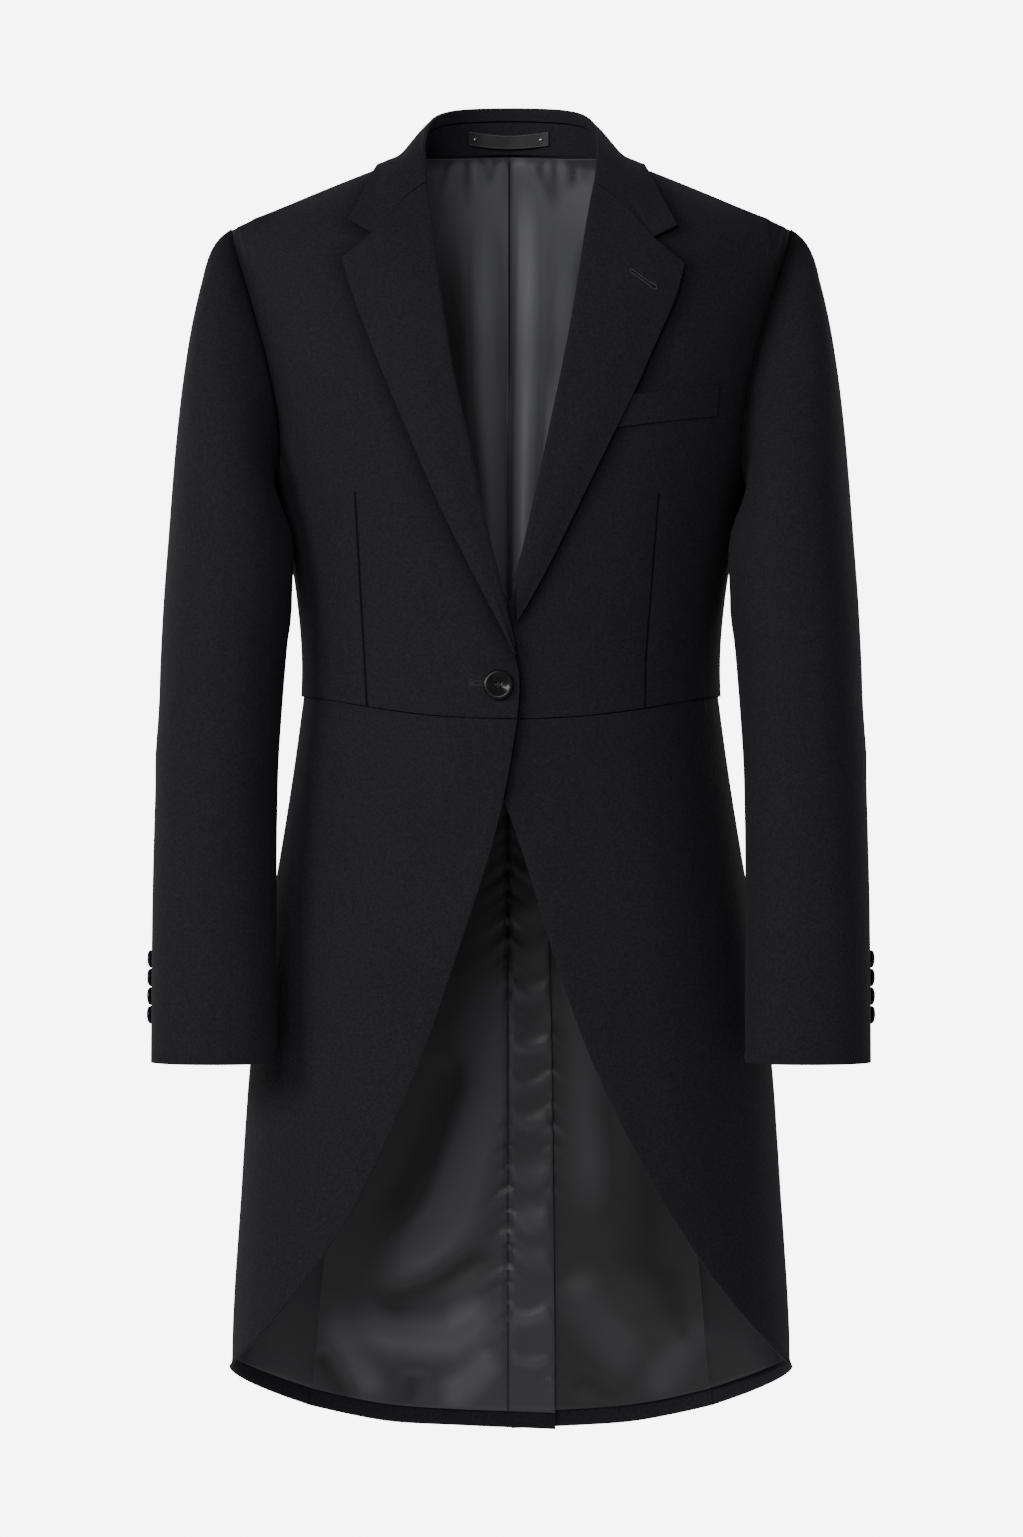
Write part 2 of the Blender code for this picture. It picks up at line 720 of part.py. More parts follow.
def fall_grid(side):
    """Visible face of the fall on one side: up from the stand, over the fold and down to the edge."""
    fold = fold_line()
    centre = fold * np.array([1, 1, 0]) + np.array([0, 4, 0])
    away = centre / np.maximum(np.linalg.norm(centre, axis=1, keepdims=True), 1e-6)
    tip = COLLAR_TIP[side]
    tip_at = (float(angle_at(np.array(tip[0]), np.array(tip[1]))), tip[1])
    edge = cells(COLLAR_EDGE + (tip_at,), COLLAR_COLUMNS, ROUND)
    front_share = smooth(np.linspace(-1, 1, len(edge)))
    edge_lift = COLLAR_LIFT + (COLLAR_TIP_LIFT - COLLAR_LIFT) * front_share
    edge = body(edge[:, 0], edge[:, 1], edge_lift)
    rolled = [fold + away * out + np.array([0, 0, up]) for out, up in FOLD_ROLL]
    gorge = join(gorge_line(side), np.array([GORGE[side][-1], tip]))
    gorge = front_points(gorge, np.full(len(gorge), LEAF_LIFT))
    back = cells([(0, y, z) for y, z in FALL_BACK], len(gorge) - 1)
    back[0] = rolled[-1][0]
    rolled[-1][-1] = gorge[0]
    edge[0], edge[-1] = back[-1], gorge[-1]
    leaf = fill(rolled[-1], edge, back, gorge)
    across = np.sin(np.linspace(0, math.pi, len(leaf)))[:, None, None]
    along = smooth(np.linspace(3, 0, leaf.shape[1]))[None, :, None]
    leaf = leaf + grid_normals(leaf) * FALL_BELLY * across * along
    low = smooth((14 - leaf[..., 2]) / 6) * edge_lift[None, :]
    leaf = np.where(leaf[..., 2:] < 14, keep_off(leaf, low), leaf)
    roll = np.array([below_fold(side, -0.2), rolled[0], rolled[1]])
    for row, (shift, lift) in zip(roll, COLLAR_CURL):
        row[-1] = front_points(np.array(GORGE[side][0]) - np.array([shift, 0.0]), np.array(lift))
    return np.concatenate([roll, leaf])


def both_sides(make):
    """Rows of one side's grid and the other's, joined at the centre back."""
    left, right = make(LEFT), make(RIGHT) * np.array([-1, 1, 1])
    return np.concatenate([right[:, ::-1], left[:, 1:]], axis=1)


def add_collar():
    fall = trim(both_sides(fall_grid), LEAF_TRIM)
    wall("collar_fall", "wool", fall, fall - grid_normals(fall) * LEAF)
    stand = trim(both_sides(stand_grid)[:, 1:-1])
    wall("collar_stand", "wool", stand, stand - grid_normals(stand) * STAND)


def sleeve_section(turn, height):
    """Points of the sleeve at a turn from its outer side over the front, and a height."""
    outer, inner, centre_y, depth = np.moveaxis(CUFF_SECTION(height), -1, 0)
    around = np.radians(turn)
    x = (outer + inner) / 2 + (outer - inner) / 2 * power(np.cos(around), 2 / SLEEVE_POWER)
    y = centre_y - depth * power(np.sin(around), 2 / SLEEVE_POWER)
    return np.stack([x, y, height + 0 * x], axis=-1)


def cap_point(turn, share):
    """Points of the sleeve's cap, from the armhole to the first section."""
    loop = through(ARMHOLE, ROUND)(np.mod(turn, 360) / 360)
    start = body(loop[..., 0], loop[..., 1], np.full(turn.shape, SLEEVE_START))
    end = sleeve_section(turn, np.full(turn.shape, float(SLEEVE[0][0])))
    reach, hold = np.moveaxis(REACH(np.mod(turn, 360)), -1, 0)
    lean = np.stack([reach, 0.25 * (end[..., 1] - start[..., 1]), 0.05 * reach], axis=-1)
    up = np.stack([-0.06 * hold, 0 * hold, hold], axis=-1)
    t = share[..., None]
    return (
        start * (1 - t) ** 3 + (start + lean) * 3 * t * (1 - t) ** 2 + (end + up) * 3 * t**2 * (1 - t) + end * t**3
    )


def sleeve_points(turn, rows):
    """Visible face of a sleeve piece; turn has a row for each ring from the armhole to the cuff."""
    cap = np.linspace(0, 1, CAP_ROWS + 1)
    heights = np.linspace(SLEEVE[0][0], SLEEVE[-1][0], ARM_ROWS + 1)[1:]
    points = []
    for i in range(rows):
        if i <= CAP_ROWS:
            ring_points = cap_point(turn[i], np.full(turn[i].shape, cap[i]))
        else:
            ring_points = sleeve_section(turn[i], np.full(turn[i].shape, heights[i - CAP_ROWS - 1]))
        distance = SLEEVE_START + (SLEEVE_CLEAR - SLEEVE_START) * min(i / 3, 1.0)
        points.append(keep_off(ring_points, np.full(turn[i].shape, distance)))
    return np.array(points)


def sleeve_seams():
    """Turn of the forearm and the hindarm seam on each ring."""
    rows = CAP_ROWS + ARM_ROWS + 1
    share = smooth(np.linspace(0, 1, rows))
    cell = 360 / ARMHOLE_CELLS
    forearm = FOREARM_CELL * cell + (FOREARM_CUFF - FOREARM_CELL * cell) * share
    hindarm = HINDARM_CELL * cell + (HINDARM_CUFF - HINDARM_CELL * cell) * share
    return forearm, hindarm


def add_sleeve(side):
    forearm, hindarm = sleeve_seams()
    top_cells = ARMHOLE_CELLS - HINDARM_CELL + FOREARM_CELL
    spans = {
        "top": (hindarm - 360, forearm, top_cells),
        "under": (forearm, hindarm, ARMHOLE_CELLS - top_cells),
    }
    for part, (first, last, count) in spans.items():
        share = (np.arange(-1, count + 2) / count)[None, :]
        turn = first[:, None] * (1 - share) + last[:, None] * share
        points = sleeve_points(turn, len(turn))
        normals = grid_normals(points)[:, 1:-1]
        outer = trim(points[:, 1:-1])
        inner = outer - normals * SHELL
        wall(f"sleeve_{part}_{SIDE_NAMES[side]}", "wool", outer, inner, side)


def add_welt():
    """Welt of the breast pocket, on the left forepart with its end under the lapel."""
    bottom = np.linspace(WELT_FOOT[0], WELT_FOOT[1], WELT_COLUMNS + 1)
    top = np.linspace(WELT_TOP[0], WELT_TOP[1], WELT_COLUMNS + 1)
    inner = np.linspace(bottom[0], top[0], WELT_ROWS + 1)
    outer = np.linspace(bottom[-1], top[-1], WELT_ROWS + 1)
    grid = fill(bottom, top, inner, outer)
    face = front_points(grid, np.full(grid.shape[:2], WELT_LIFT + WELT))
    back = front_points(grid, np.full(grid.shape[:2], WELT_LIFT))
    wall("breast_welt", "wool", face, back, LEFT)


def turned(bm, profile, segments):
    """Closed turned solid from radius and height pairs, centred on its own axis."""
    rings = []
    for radius, height in profile:
        turns = [2 * math.pi * k / segments for k in range(segments)]
        rings.append([bm.verts.new((radius * math.cos(a) * MM, radius * math.sin(a) * MM, height * MM))
                      for a in turns])
    for low, high in zip(rings, rings[1:]):
        for k in range(segments):
            n = (k + 1) % segments
            bm.faces.new((low[k], low[n], high[n], high[k]))
    bm.faces.new(rings[0][::-1])
    bm.faces.new(rings[-1])


def stand_on(made, point, normal, side):
    """Place an object with its own axis along a normal."""
    flip = Vector((side, 1, 1))
    made.location = Vector(point) * MM * flip
    made.rotation_euler = (Vector(normal) * flip).to_track_quat("Z", "Y").to_euler()


def add_button(name, size, point, normal, side, holes, segments, gap=BUTTON_GAP):
    """Dished button on its seat, with four thread holes where they show."""
    diameter, thickness = size
    bm = bmesh.new()
    turned(bm, [(r * diameter / 2, h * thickness) for r, h in BUTTON_PROFILE], segments)
    made = add_object(name, "horn", bm, 50)
    stand_on(made, np.array(point) + np.array(normal) * gap, normal, side)
    if not holes:
        return
    pitch, bore = BUTTON_HOLES
    cutter_mesh = bmesh.new()
    for x in (-pitch / 2, pitch / 2):
        for y in (-pitch / 2, pitch / 2):
            before = len(cutter_mesh.verts)
            turned(cutter_mesh, [(bore / 2, -1.0), (bore / 2, thickness + 1.0)], 8)
            cutter_mesh.verts.ensure_lookup_table()
            for vert in cutter_mesh.verts[before:]:
                vert.co += Vector((x, y, 0)) * MM
    cutter = add_object(f"{name}_cutter", "horn", cutter_mesh)
    cutter.location, cutter.rotation_euler = made.location, made.rotation_euler
    cutter.hide_render = True
    cutter.display_type = "WIRE"
    cut = made.modifiers.new("thread holes", "BOOLEAN")
    cut.operation = "DIFFERENCE"
    cut.solver = "EXACT"
    cut.object = cutter


def add_front_button():
    own_x, height = (np.array(float(value)) for value in FRONT_BUTTON_AT)
    angle = angle_at(own_x, height)
    seat = body(angle, height, lap(own_x, height))
    add_button("front_button", FRONT_BUTTON, seat, outward(seat)[0], RIGHT, True, 28)


def add_waist_button(side):
    angle, height = (np.array(float(value)) for value in WAIST_BUTTON_AT)
    seat = body(angle, height)
    add_button(f"waist_button_{SIDE_NAMES[side]}", WAIST_BUTTON, seat, outward(seat)[0], side, True, 24, 0.8)


def add_cuff_buttons(side):
    for number in range(CUFF_BUTTONS):
        height = np.array([CUFF_BUTTON_FIRST - number * CUFF_BUTTON_STEP])
        turn = np.array([float(CUFF_BUTTON_TURN)])
        seat = sleeve_section(turn, height)[0]
        ahead = sleeve_section(turn + 2, height)[0] - sleeve_section(turn - 2, height)[0]
        above = sleeve_section(turn, height + 5)[0] - sleeve_section(turn, height - 5)[0]
        normal = np.cross(above, ahead)
        normal /= np.linalg.norm(normal)
        normal *= np.sign(normal[0])
        name = f"cuff_button_{SIDE_NAMES[side]}_{number + 1}"
        add_button(name, CUFF_BUTTON, seat, normal, side, False, 18)


def stand_face(own_x, height):
    """Depth of the collar stand's visible face at the back of the neck, at an x and a height."""
    grid = both_sides(stand_grid)
    share = np.clip((height - grid[0, :, 2]) / (grid[-1, :, 2] - grid[0, :, 2]), 0, 1)[:, None]
    line = grid[0] * (1 - share) + grid[-1] * share
    back = line[(np.abs(line[:, 0]) < STAND_BACK) & (line[:, 1] > 0)]
    back = back[np.argsort(back[:, 0])]
    return float(np.interp(own_x, back[:, 0], back[:, 1]))


def loop_line(own_x):
    """Middle of the hanger loop's face towards the neck at an x: y and height."""
    share = (own_x - LOOP_ENDS[0]) / (LOOP_ENDS[1] - LOOP_ENDS[0])
    bow = math.sin(math.pi * share)
    height = LOOP_HEIGHT - LOOP_SAG * bow
    off = LOOP_STANDOFF[0] + (LOOP_STANDOFF[1] - LOOP_STANDOFF[0]) * bow + LOOP_CLOTH
    return stand_face(own_x, height) - off, height


def add_loop():
    """Strap across the back of the neck, bowed down and away from the stand, with a pin at each end."""
    face = []
    for own_x in np.linspace(LOOP_ENDS[0], LOOP_ENDS[1], LOOP_COLUMNS + 1):
        y, height = loop_line(own_x)
        face.append([(own_x, y, height - LOOP_WIDTH / 2), (own_x, y, height + LOOP_WIDTH / 2)])
    face = np.moveaxis(np.array(face), 0, 1)
    wall("hanger_loop", "leather", face, face + np.array([0, LOOP_CLOTH, 0]))
    for side, own_x in zip((RIGHT, LEFT), PIN_AT):
        y, height = loop_line(own_x)
        ahead = loop_line(own_x + 1)[0] - loop_line(own_x - 1)[0]
        normal = np.array([ahead / 2, -1.0, 0.0]) / math.hypot(ahead / 2, 1.0)
        bm = bmesh.new()
        diameter, thickness = PIN
        turned(bm, [(diameter / 2, 0), (diameter / 2, thickness * 0.5), (diameter * 0.3, thickness)], 10)
        made = add_object(f"loop_pin_{SIDE_NAMES[side]}", "metal", bm, 60)
        stand_on(made, np.array([own_x, y, height]) + normal * 0.3, normal, LEFT)


def main():
    for old in list(bpy.data.objects):
        bpy.data.objects.remove(old, do_unlink=True)
    for side in (RIGHT, LEFT):
        add_panels(side)
        add_linings(side)
        add_lapel(side)
        add_sleeve(side)
        add_cuff_buttons(side)
        add_waist_button(side)
    add_collar()
    add_welt()
    add_front_button()
    add_loop()


main()
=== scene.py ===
"""Looks of a black single-breasted tailcoat, filled out with no wearer.

Every length in this file is in metres and every angle in degrees unless a name says otherwise. +X is the
wearer's left, the front faces -Y and the base of the neck is the origin.
"""

import logging
import math
from dataclasses import dataclass, field
from enum import Enum
from typing import Callable, Sequence

import bmesh
import bpy
import numpy as np
from mathutils import Matrix, Vector
from mathutils.bvhtree import BVHTree


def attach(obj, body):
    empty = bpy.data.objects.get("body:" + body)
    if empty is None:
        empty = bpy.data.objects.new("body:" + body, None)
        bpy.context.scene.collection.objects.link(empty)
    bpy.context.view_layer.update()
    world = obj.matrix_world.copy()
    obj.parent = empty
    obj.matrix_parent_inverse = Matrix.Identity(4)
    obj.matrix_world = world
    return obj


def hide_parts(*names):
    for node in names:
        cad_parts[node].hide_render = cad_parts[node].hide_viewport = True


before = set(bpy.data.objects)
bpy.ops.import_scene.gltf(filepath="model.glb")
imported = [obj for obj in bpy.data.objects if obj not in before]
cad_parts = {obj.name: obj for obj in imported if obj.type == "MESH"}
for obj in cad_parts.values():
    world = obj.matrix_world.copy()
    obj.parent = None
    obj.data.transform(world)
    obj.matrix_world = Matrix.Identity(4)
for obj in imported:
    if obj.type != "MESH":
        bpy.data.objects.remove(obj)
for spare in [bpy.data.objects[name] for name in ("Cube", "Camera", "Light") if name in bpy.data.objects]:
    bpy.data.objects.remove(spare)
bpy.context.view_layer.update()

LOG = logging.getLogger("tailcoat")
MM = 0.001
BODY = "root"
MERGE = 0.005 * MM
RIM_ANGLE = math.radians(48)
SHARP_ANGLE = math.radians(50)
JOIN_FACE_ANGLE = math.radians(60)
JOIN_SHAPE_ANGLE = math.radians(140)

Colour = tuple[float, float, float]
Point = tuple[float, float, float]


class Side(Enum):
    """One side of the wearer, with the sign of its x."""

    RIGHT = -1
    LEFT = 1

    @property
    def word(self) -> str:
        """Lower-case name, as the CAD nodes use it."""
        return self.name.lower()


class Slot(Enum):
    """The record's material slots."""

    WOOL = "wool"
    SATIN = "satin"
    HORN = "horn"
    LEATHER = "leather"
    METAL = "metal"


class Lay(Enum):
    """How a stitch lies on its path."""

    ALONG = 0.0
    ACROSS = 1.0


# Shaders


class Value:
    """A shader socket that Python arithmetic works on."""

    def __init__(self, shader: "Shader", socket: bpy.types.NodeSocket) -> None:
        """Wrap an output socket.

        Args:
            shader: the material's node builder.
            socket: the output socket.
        """
        self.shader = shader
        self.socket = socket

    def _math(self, operation: str, *others: "Value | float") -> "Value":
        """Math node on this value and the others."""
        return self.shader.math(operation, self, *others)

    def __add__(self, other: "Value | float") -> "Value":
        """Sum."""
        return self._math("ADD", other)

    __radd__ = __add__

    def __sub__(self, other: "Value | float") -> "Value":
        """Difference."""
        return self._math("SUBTRACT", other)

    def __rsub__(self, other: float) -> "Value":
        """Difference from a number."""
        return self.shader.math("SUBTRACT", other, self)

    def __mul__(self, other: "Value | float") -> "Value":
        """Product."""
        return self._math("MULTIPLY", other)

    __rmul__ = __mul__

    def __truediv__(self, other: "Value | float") -> "Value":
        """Quotient."""
        return self._math("DIVIDE", other)

    def power(self, exponent: float) -> "Value":
        """Value raised to an exponent."""
        return self._math("POWER", exponent)

    def sine(self) -> "Value":
        """Sine of the value in radians."""
        return self._math("SINE")

    def absolute(self) -> "Value":
        """Size of the value without its sign."""
        return self._math("ABSOLUTE")

    def most(self, other: "Value | float") -> "Value":
        """Larger of two values."""
        return self._math("MAXIMUM", other)

    def least(self, other: "Value | float") -> "Value":
        """Smaller of two values."""
        return self._math("MINIMUM", other)


def feed(tree: bpy.types.NodeTree, socket: bpy.types.NodeSocket, value: object) -> None:
    """Set an input, or link it.

    Args:
        tree: the node tree.
        socket: the input.
        value: a Value or an output socket to link, or what the input is set to.
    """
    if isinstance(value, Value):
        tree.links.new(value.socket, socket)
    elif isinstance(value, bpy.types.NodeSocket):
        tree.links.new(value, socket)
    else:
        socket.default_value = value


def add_node(tree: bpy.types.NodeTree, kind: str, settings: dict[str, object] | None = None,
             sockets: dict[str | int, object] | None = None) -> bpy.types.Node:
    """Add a node.

    Args:
        tree: the node tree.
        kind: the node's type.
        settings: its own properties, set first.
        sockets: values or links of its inputs, by name or number.

    Returns:
        The new node.
    """
    made = tree.nodes.new(kind)
    for key, value in (settings or {}).items():
        setattr(made, key, value)
    for key, value in (sockets or {}).items():
        feed(tree, made.inputs[key], value)
    return made


class Shader:
    """Builds one material's nodes."""

    def __init__(self, name: str) -> None:
        """Start a material that has a Principled shader.

        Args:
            name: the material's name.
        """
        self.material = bpy.data.materials.new(name)
        self.material.use_nodes = True
        self.tree = self.material.node_tree
        self.principled = self.tree.nodes["Principled BSDF"]

    def node(self, kind: str, settings: dict[str, object] | None = None,
             sockets: dict[str | int, object] | None = None) -> bpy.types.Node:
        """Add a node to the material, as add_node does."""
        return add_node(self.tree, kind, settings, sockets)

    def math(self, operation: str, *values: "Value | float") -> Value:
        """Math node on values.

        Args:
            operation: the node's operation.
            values: its inputs in order.

        Returns:
            The result.
        """
        sockets = dict(enumerate(values))
        return Value(self, self.node("ShaderNodeMath", {"operation": operation}, sockets).outputs[0])

    def place(self) -> tuple[Value, Value, Value]:
        """Object coordinates, as three values."""
        where = self.node("ShaderNodeTexCoord").outputs["Object"]
        parts = self.node("ShaderNodeSeparateXYZ", None, {0: where})
        return tuple(Value(self, out) for out in parts.outputs)

    def weave_place(self) -> tuple[Value, Value]:
        """The piece's own cloth coordinates, in metres across and along the grain."""
        where = self.node("ShaderNodeUVMap", {"uv_map": Cloth.GRAIN}).outputs[0]
        parts = self.node("ShaderNodeSeparateXYZ", None, {0: where})
        return Value(self, parts.outputs[0]), Value(self, parts.outputs[1])

    def noise(self, scale: float, detail: float = 2.0, stretch: Point = (1.0, 1.0, 1.0)) -> Value:
        """Noise on Object coordinates.

        Args:
            scale: cells in a metre.
            detail: octaves.
            stretch: scale along each axis.

        Returns:
            The noise, around 0.5.
        """
        where = self.node("ShaderNodeTexCoord").outputs["Object"]
        turned = self.node("ShaderNodeMapping", None, {"Vector": where, "Scale": stretch}).outputs[0]
        made = self.node("ShaderNodeTexNoise", None, {"Vector": turned, "Scale": scale, "Detail": detail})
        return Value(self, made.outputs[0])

    def mix(self, share: "Value | float", first: Colour, second: Colour) -> bpy.types.NodeSocket:
        """Mix of two colours by a share."""
        made = self.node("ShaderNodeMix", {"data_type": "RGBA"}, {0: share})
        made.inputs[6].default_value = (*first, 1.0)
        made.inputs[7].default_value = (*second, 1.0)
        return made.outputs[2]

    def blend(self, share: "Value | float", first: bpy.types.NodeSocket,
              second: Colour) -> bpy.types.NodeSocket:
        """Mix of a linked colour and a fixed one by a share."""
        made = self.node("ShaderNodeMix", {"data_type": "RGBA"}, {0: share, 6: first})
        made.inputs[7].default_value = (*second, 1.0)
        return made.outputs[2]

    def scale(self, colour: bpy.types.NodeSocket, gain: Value) -> bpy.types.NodeSocket:
        """Colour made lighter or darker by a gain."""
        scaled = self.node("ShaderNodeVectorMath", {"operation": "SCALE"}, {0: colour, "Scale": gain})
        return scaled.outputs[0]

    def attribute(self, name: str) -> Value:
        """Value that each point of the piece holds under a name."""
        return Value(self, self.node("ShaderNodeAttribute", {"attribute_name": name}).outputs["Fac"])

    def bump(self, height: Value, distance: float, strength: float = 1.0) -> bpy.types.NodeSocket:
        """Normal that a height gives.

        Args:
            height: the relief, from 0 to 1.
            distance: what 1 stands for, in metres.
            strength: share of the effect.

        Returns:
            The normal.
        """
        return self.node("ShaderNodeBump", None, {
            "Height": height, "Distance": distance, "Strength": strength}).outputs[0]

    def set(self, **values: object) -> None:
        """Set the Principled shader's inputs; an underscore in a name stands for a space."""
        for key, value in values.items():
            feed(self.tree, self.principled.inputs[key.replace("_", " ")], value)

    def near_line(self, start: tuple[float, float], end: tuple[float, float], width: float) -> Value:
        """Mask of a line across the front, soft at its edges.

        Args:
            start: x and height of one end.
            end: x and height of the other.
            width: half width at which the mask has faded.

        Returns:
            1 on the line and 0 away from it.
        """
        x, _, z = self.place()
        length = math.dist(start, end)
        along = ((end[0] - start[0]) / length, (end[1] - start[1]) / length)
        run = (x - start[0]) * along[0] + (z - start[1]) * along[1]
        off = ((x - start[0]) * along[1] - (z - start[1]) * along[0]).absolute()
        past = (run * -1.0).most(run - length).most(0.0)
        return (1.0 - (off + past) / width).most(0.0)


@dataclass(frozen=True)
class Wool:
    """Fine matt twill of the shell, with painted shade near pieces that lie over it."""

    colour: Colour = (0.0158, 0.0153, 0.0186)
    nap: Colour = (0.0285, 0.0277, 0.0334)
    gloss: float = 0.20
    sheen: float = 0.12
    rib: float = 1.5 * MM
    dart_width: float = 1.15 * MM
    # Painted shade of the darts' seam lines.
    stitched: Colour = (0.001, 0.001, 0.001)
    darts: tuple[tuple[tuple[float, float], tuple[float, float]], ...] = ()

    def material(self, name: str) -> bpy.types.Material:
        """Material of the cloth.

        Args:
            name: the material's name.

        Returns:
            The material.
        """
        shader = Shader(name)
        across, along = shader.weave_place()
        ribs = ((across * 0.8 + along) * (2 * math.pi / self.rib)).sine() * 0.5 + 0.5
        threads = ((across - along * 0.35) * (2 * math.pi / (self.rib * 0.55))).sine() * 0.5 + 0.5
        grain = shader.noise(700, 4)
        fleck = shader.noise(430, 3)
        cloud = shader.noise(14, 3)
        height = ribs * 0.5 + threads * 0.2 + grain * 0.6 + fleck * 0.4
        shade = (grain - 0.5) * 2.1 + (fleck - 0.5) * 1.5 + (cloud - 0.5) * 0.5 + ribs * 0.26 + 0.34
        cloth = shader.mix(shade.most(0.0).least(1.0), self.colour, self.nap)
        # Each dart is a bumped groove with a dark line of painted shade along it.
        for start, end in self.darts:
            line = shader.near_line(start, end, self.dart_width)
            cloth = shader.blend((line * 1.8).least(0.92), cloth, self.stitched)
            height = height - line * 5.0
        # Painted shade: the base colour darkens near pieces that lie over this one.
        near = shader.attribute(Cloth.NEAR)
        shader.set(
            Base_Color=shader.scale(cloth, 1.0 - near * 0.85),
            Roughness=(0.80 + cloud * 0.12),
            Specular_IOR_Level=self.gloss,
            Sheen_Weight=self.sheen,
            Sheen_Roughness=0.45,
            Sheen_Tint=(0.30, 0.30, 0.34, 1.0),
            Normal=shader.bump(height, 0.16 * MM, 0.8),
        )
        return shader.material


@dataclass(frozen=True)
class Satin:
    """Soft lustrous lining, with painted light on its upper part, painted shade in fold troughs and along
    seams, and painted sheen on fold crests.
    """

    # tail: painted light level of the tails' colour; the wearer's left copy is lower, as painted shade.
    tail: float
    colour: Colour = (0.056, 0.056, 0.062)
    light: Colour = (0.074, 0.074, 0.081)
    # upper: painted light, the upper lining's colour made lighter to stand for the light that falls on it
    # inside the neck.
    upper: Colour = (0.240, 0.240, 0.264)
    # Painted shade of the seam lines down the back.
    stitched: Colour = (0.004, 0.004, 0.005)
    floats: float = 0.5 * MM
    seam_width: float = 1.1 * MM
    seams: tuple[tuple[tuple[float, float], tuple[float, float]], ...] = (
        ((-0.0014, 0.010), (-0.0014, -0.500)),
        ((-0.0025, -0.500), (-0.0025, -1.020)),
    )

    def material(self, name: str) -> bpy.types.Material:
        """Material of the lining.

        Args:
            name: the material's name.

        Returns:
            The material.
        """
        shader = Shader(name)
        across, along = shader.weave_place()
        floats = ((across * 1.0 + along * 0.2) * (2 * math.pi / self.floats)).sine() * 0.5 + 0.5
        grain = shader.noise(1100, 2, (1.0, 1.0, 0.35))
        cloud = shader.noise(22, 2)
        _, _, height = shader.place()
        # Painted light: the lining is lighter from about the waist up, blending to the upper colour.
        painted_light_above = ((height + 0.52) * 5.0).most(0.0).least(1.0)
        low = tuple(part * self.tail for part in self.colour)
        high = tuple(part * self.tail for part in self.light)
        tails = shader.mix((grain * 0.5 + cloud * 0.5).least(1.0), low, high)
        whole = shader.blend(painted_light_above, tails, self.upper)
        # Painted shade and sheen: the folds' troughs are darkened and their crests lightened in the base
        # colour.
        rise = shader.attribute(Cloth.RISE)
        painted_shade = (1.0 - rise * 3.0).most(0.0)
        painted_sheen = ((rise - 0.44) * 2.4).most(0.0).least(1.0)
        painted_light_colour = shader.scale(whole, 1.0 + painted_sheen * 1.3 - painted_shade * 0.6)
        # Dark lines of painted shade along the seams.
        for start, end in self.seams:
            line = shader.near_line(start, end, self.seam_width)
            painted_light_colour = shader.blend((line * 1.8).least(0.9), painted_light_colour, self.stitched)
        shader.set(
            Base_Color=painted_light_colour,
            Roughness=(0.34 + grain * 0.07),
            Specular_IOR_Level=0.55,
            Sheen_Weight=0.15,
            Sheen_Roughness=0.3,
            Sheen_Tint=(0.6, 0.6, 0.66, 1.0),
            Normal=shader.bump(floats * 0.4 + grain * 0.6, 0.03 * MM, 0.6),
        )
        return shader.material


@dataclass(frozen=True)
class Horn:
    """Polished black buttons."""

    colour: Colour = (0.007, 0.007, 0.008)
    light: Colour = (0.010, 0.010, 0.011)

    def material(self, name: str) -> bpy.types.Material:
        """Material of the buttons.

        Args:
            name: the material's name.

        Returns:
            The material.
        """
        shader = Shader(name)
        cloud = shader.noise(120, 2, (1.0, 1.0, 0.4))
        wear = shader.noise(180, 2)
        shader.set(
            Base_Color=shader.mix(cloud.least(1.0), self.colour, self.light),
            Roughness=(0.20 + wear * 0.06),
            Specular_IOR_Level=0.38,
        )
        return shader.material


@dataclass(frozen=True)
class Leather:
    """Grained strap of the hanger loop."""

    colour: Colour = (0.012, 0.012, 0.013)
    light: Colour = (0.024, 0.024, 0.026)

    def material(self, name: str) -> bpy.types.Material:
        """Material of the strap.

        Args:
            name: the material's name.

        Returns:
            The material.
        """
        shader = Shader(name)
        where = shader.node("ShaderNodeTexCoord").outputs["Object"]
        cell = Value(shader, shader.node("ShaderNodeTexVoronoi", {"feature": "DISTANCE_TO_EDGE"},
                                         {"Vector": where, "Scale": 1300.0}).outputs[0])
        grain = (cell * 3.0).least(1.0)
        cloud = shader.noise(300, 2)
        shader.set(
            Base_Color=shader.mix((grain * 0.6 + cloud * 0.3).least(1.0), self.colour, self.light),
            Roughness=(0.58 - grain * 0.10),
            Normal=shader.bump(grain, 0.08 * MM, 0.7),
        )
        return shader.material


@dataclass(frozen=True)
class Steel:
    """Bright heads of the loop's pins."""

    colour: Colour = (0.30, 0.30, 0.31)

    def material(self, name: str) -> bpy.types.Material:
        """Material of the pins.

        Args:
            name: the material's name.

        Returns:
            The material.
        """
        shader = Shader(name)
        wear = shader.noise(2500, 2)
        shader.set(
            Base_Color=shader.mix(wear, self.colour, (0.42, 0.42, 0.44)),
            Metallic=1.0,
            Roughness=(0.20 + wear * 0.18),
        )
        return shader.material


@dataclass(frozen=True)
class Thread:
    """Twisted sewing thread."""

    colour: Colour = (0.05, 0.05, 0.055)

    def material(self, name: str) -> bpy.types.Material:
        """Material of the thread.

        Args:
            name: the material's name.

        Returns:
            The material.
        """
        shader = Shader(name)
        fuzz = shader.noise(3000, 2)
        light = tuple(min(1.0, 1.5 * part) for part in self.colour)
        shader.set(
            Base_Color=shader.mix(fuzz, self.colour, light),
            Roughness=(0.5 + fuzz * 0.2),
            Normal=shader.bump(fuzz, 0.05 * MM, 0.5),
        )
        return shader.material


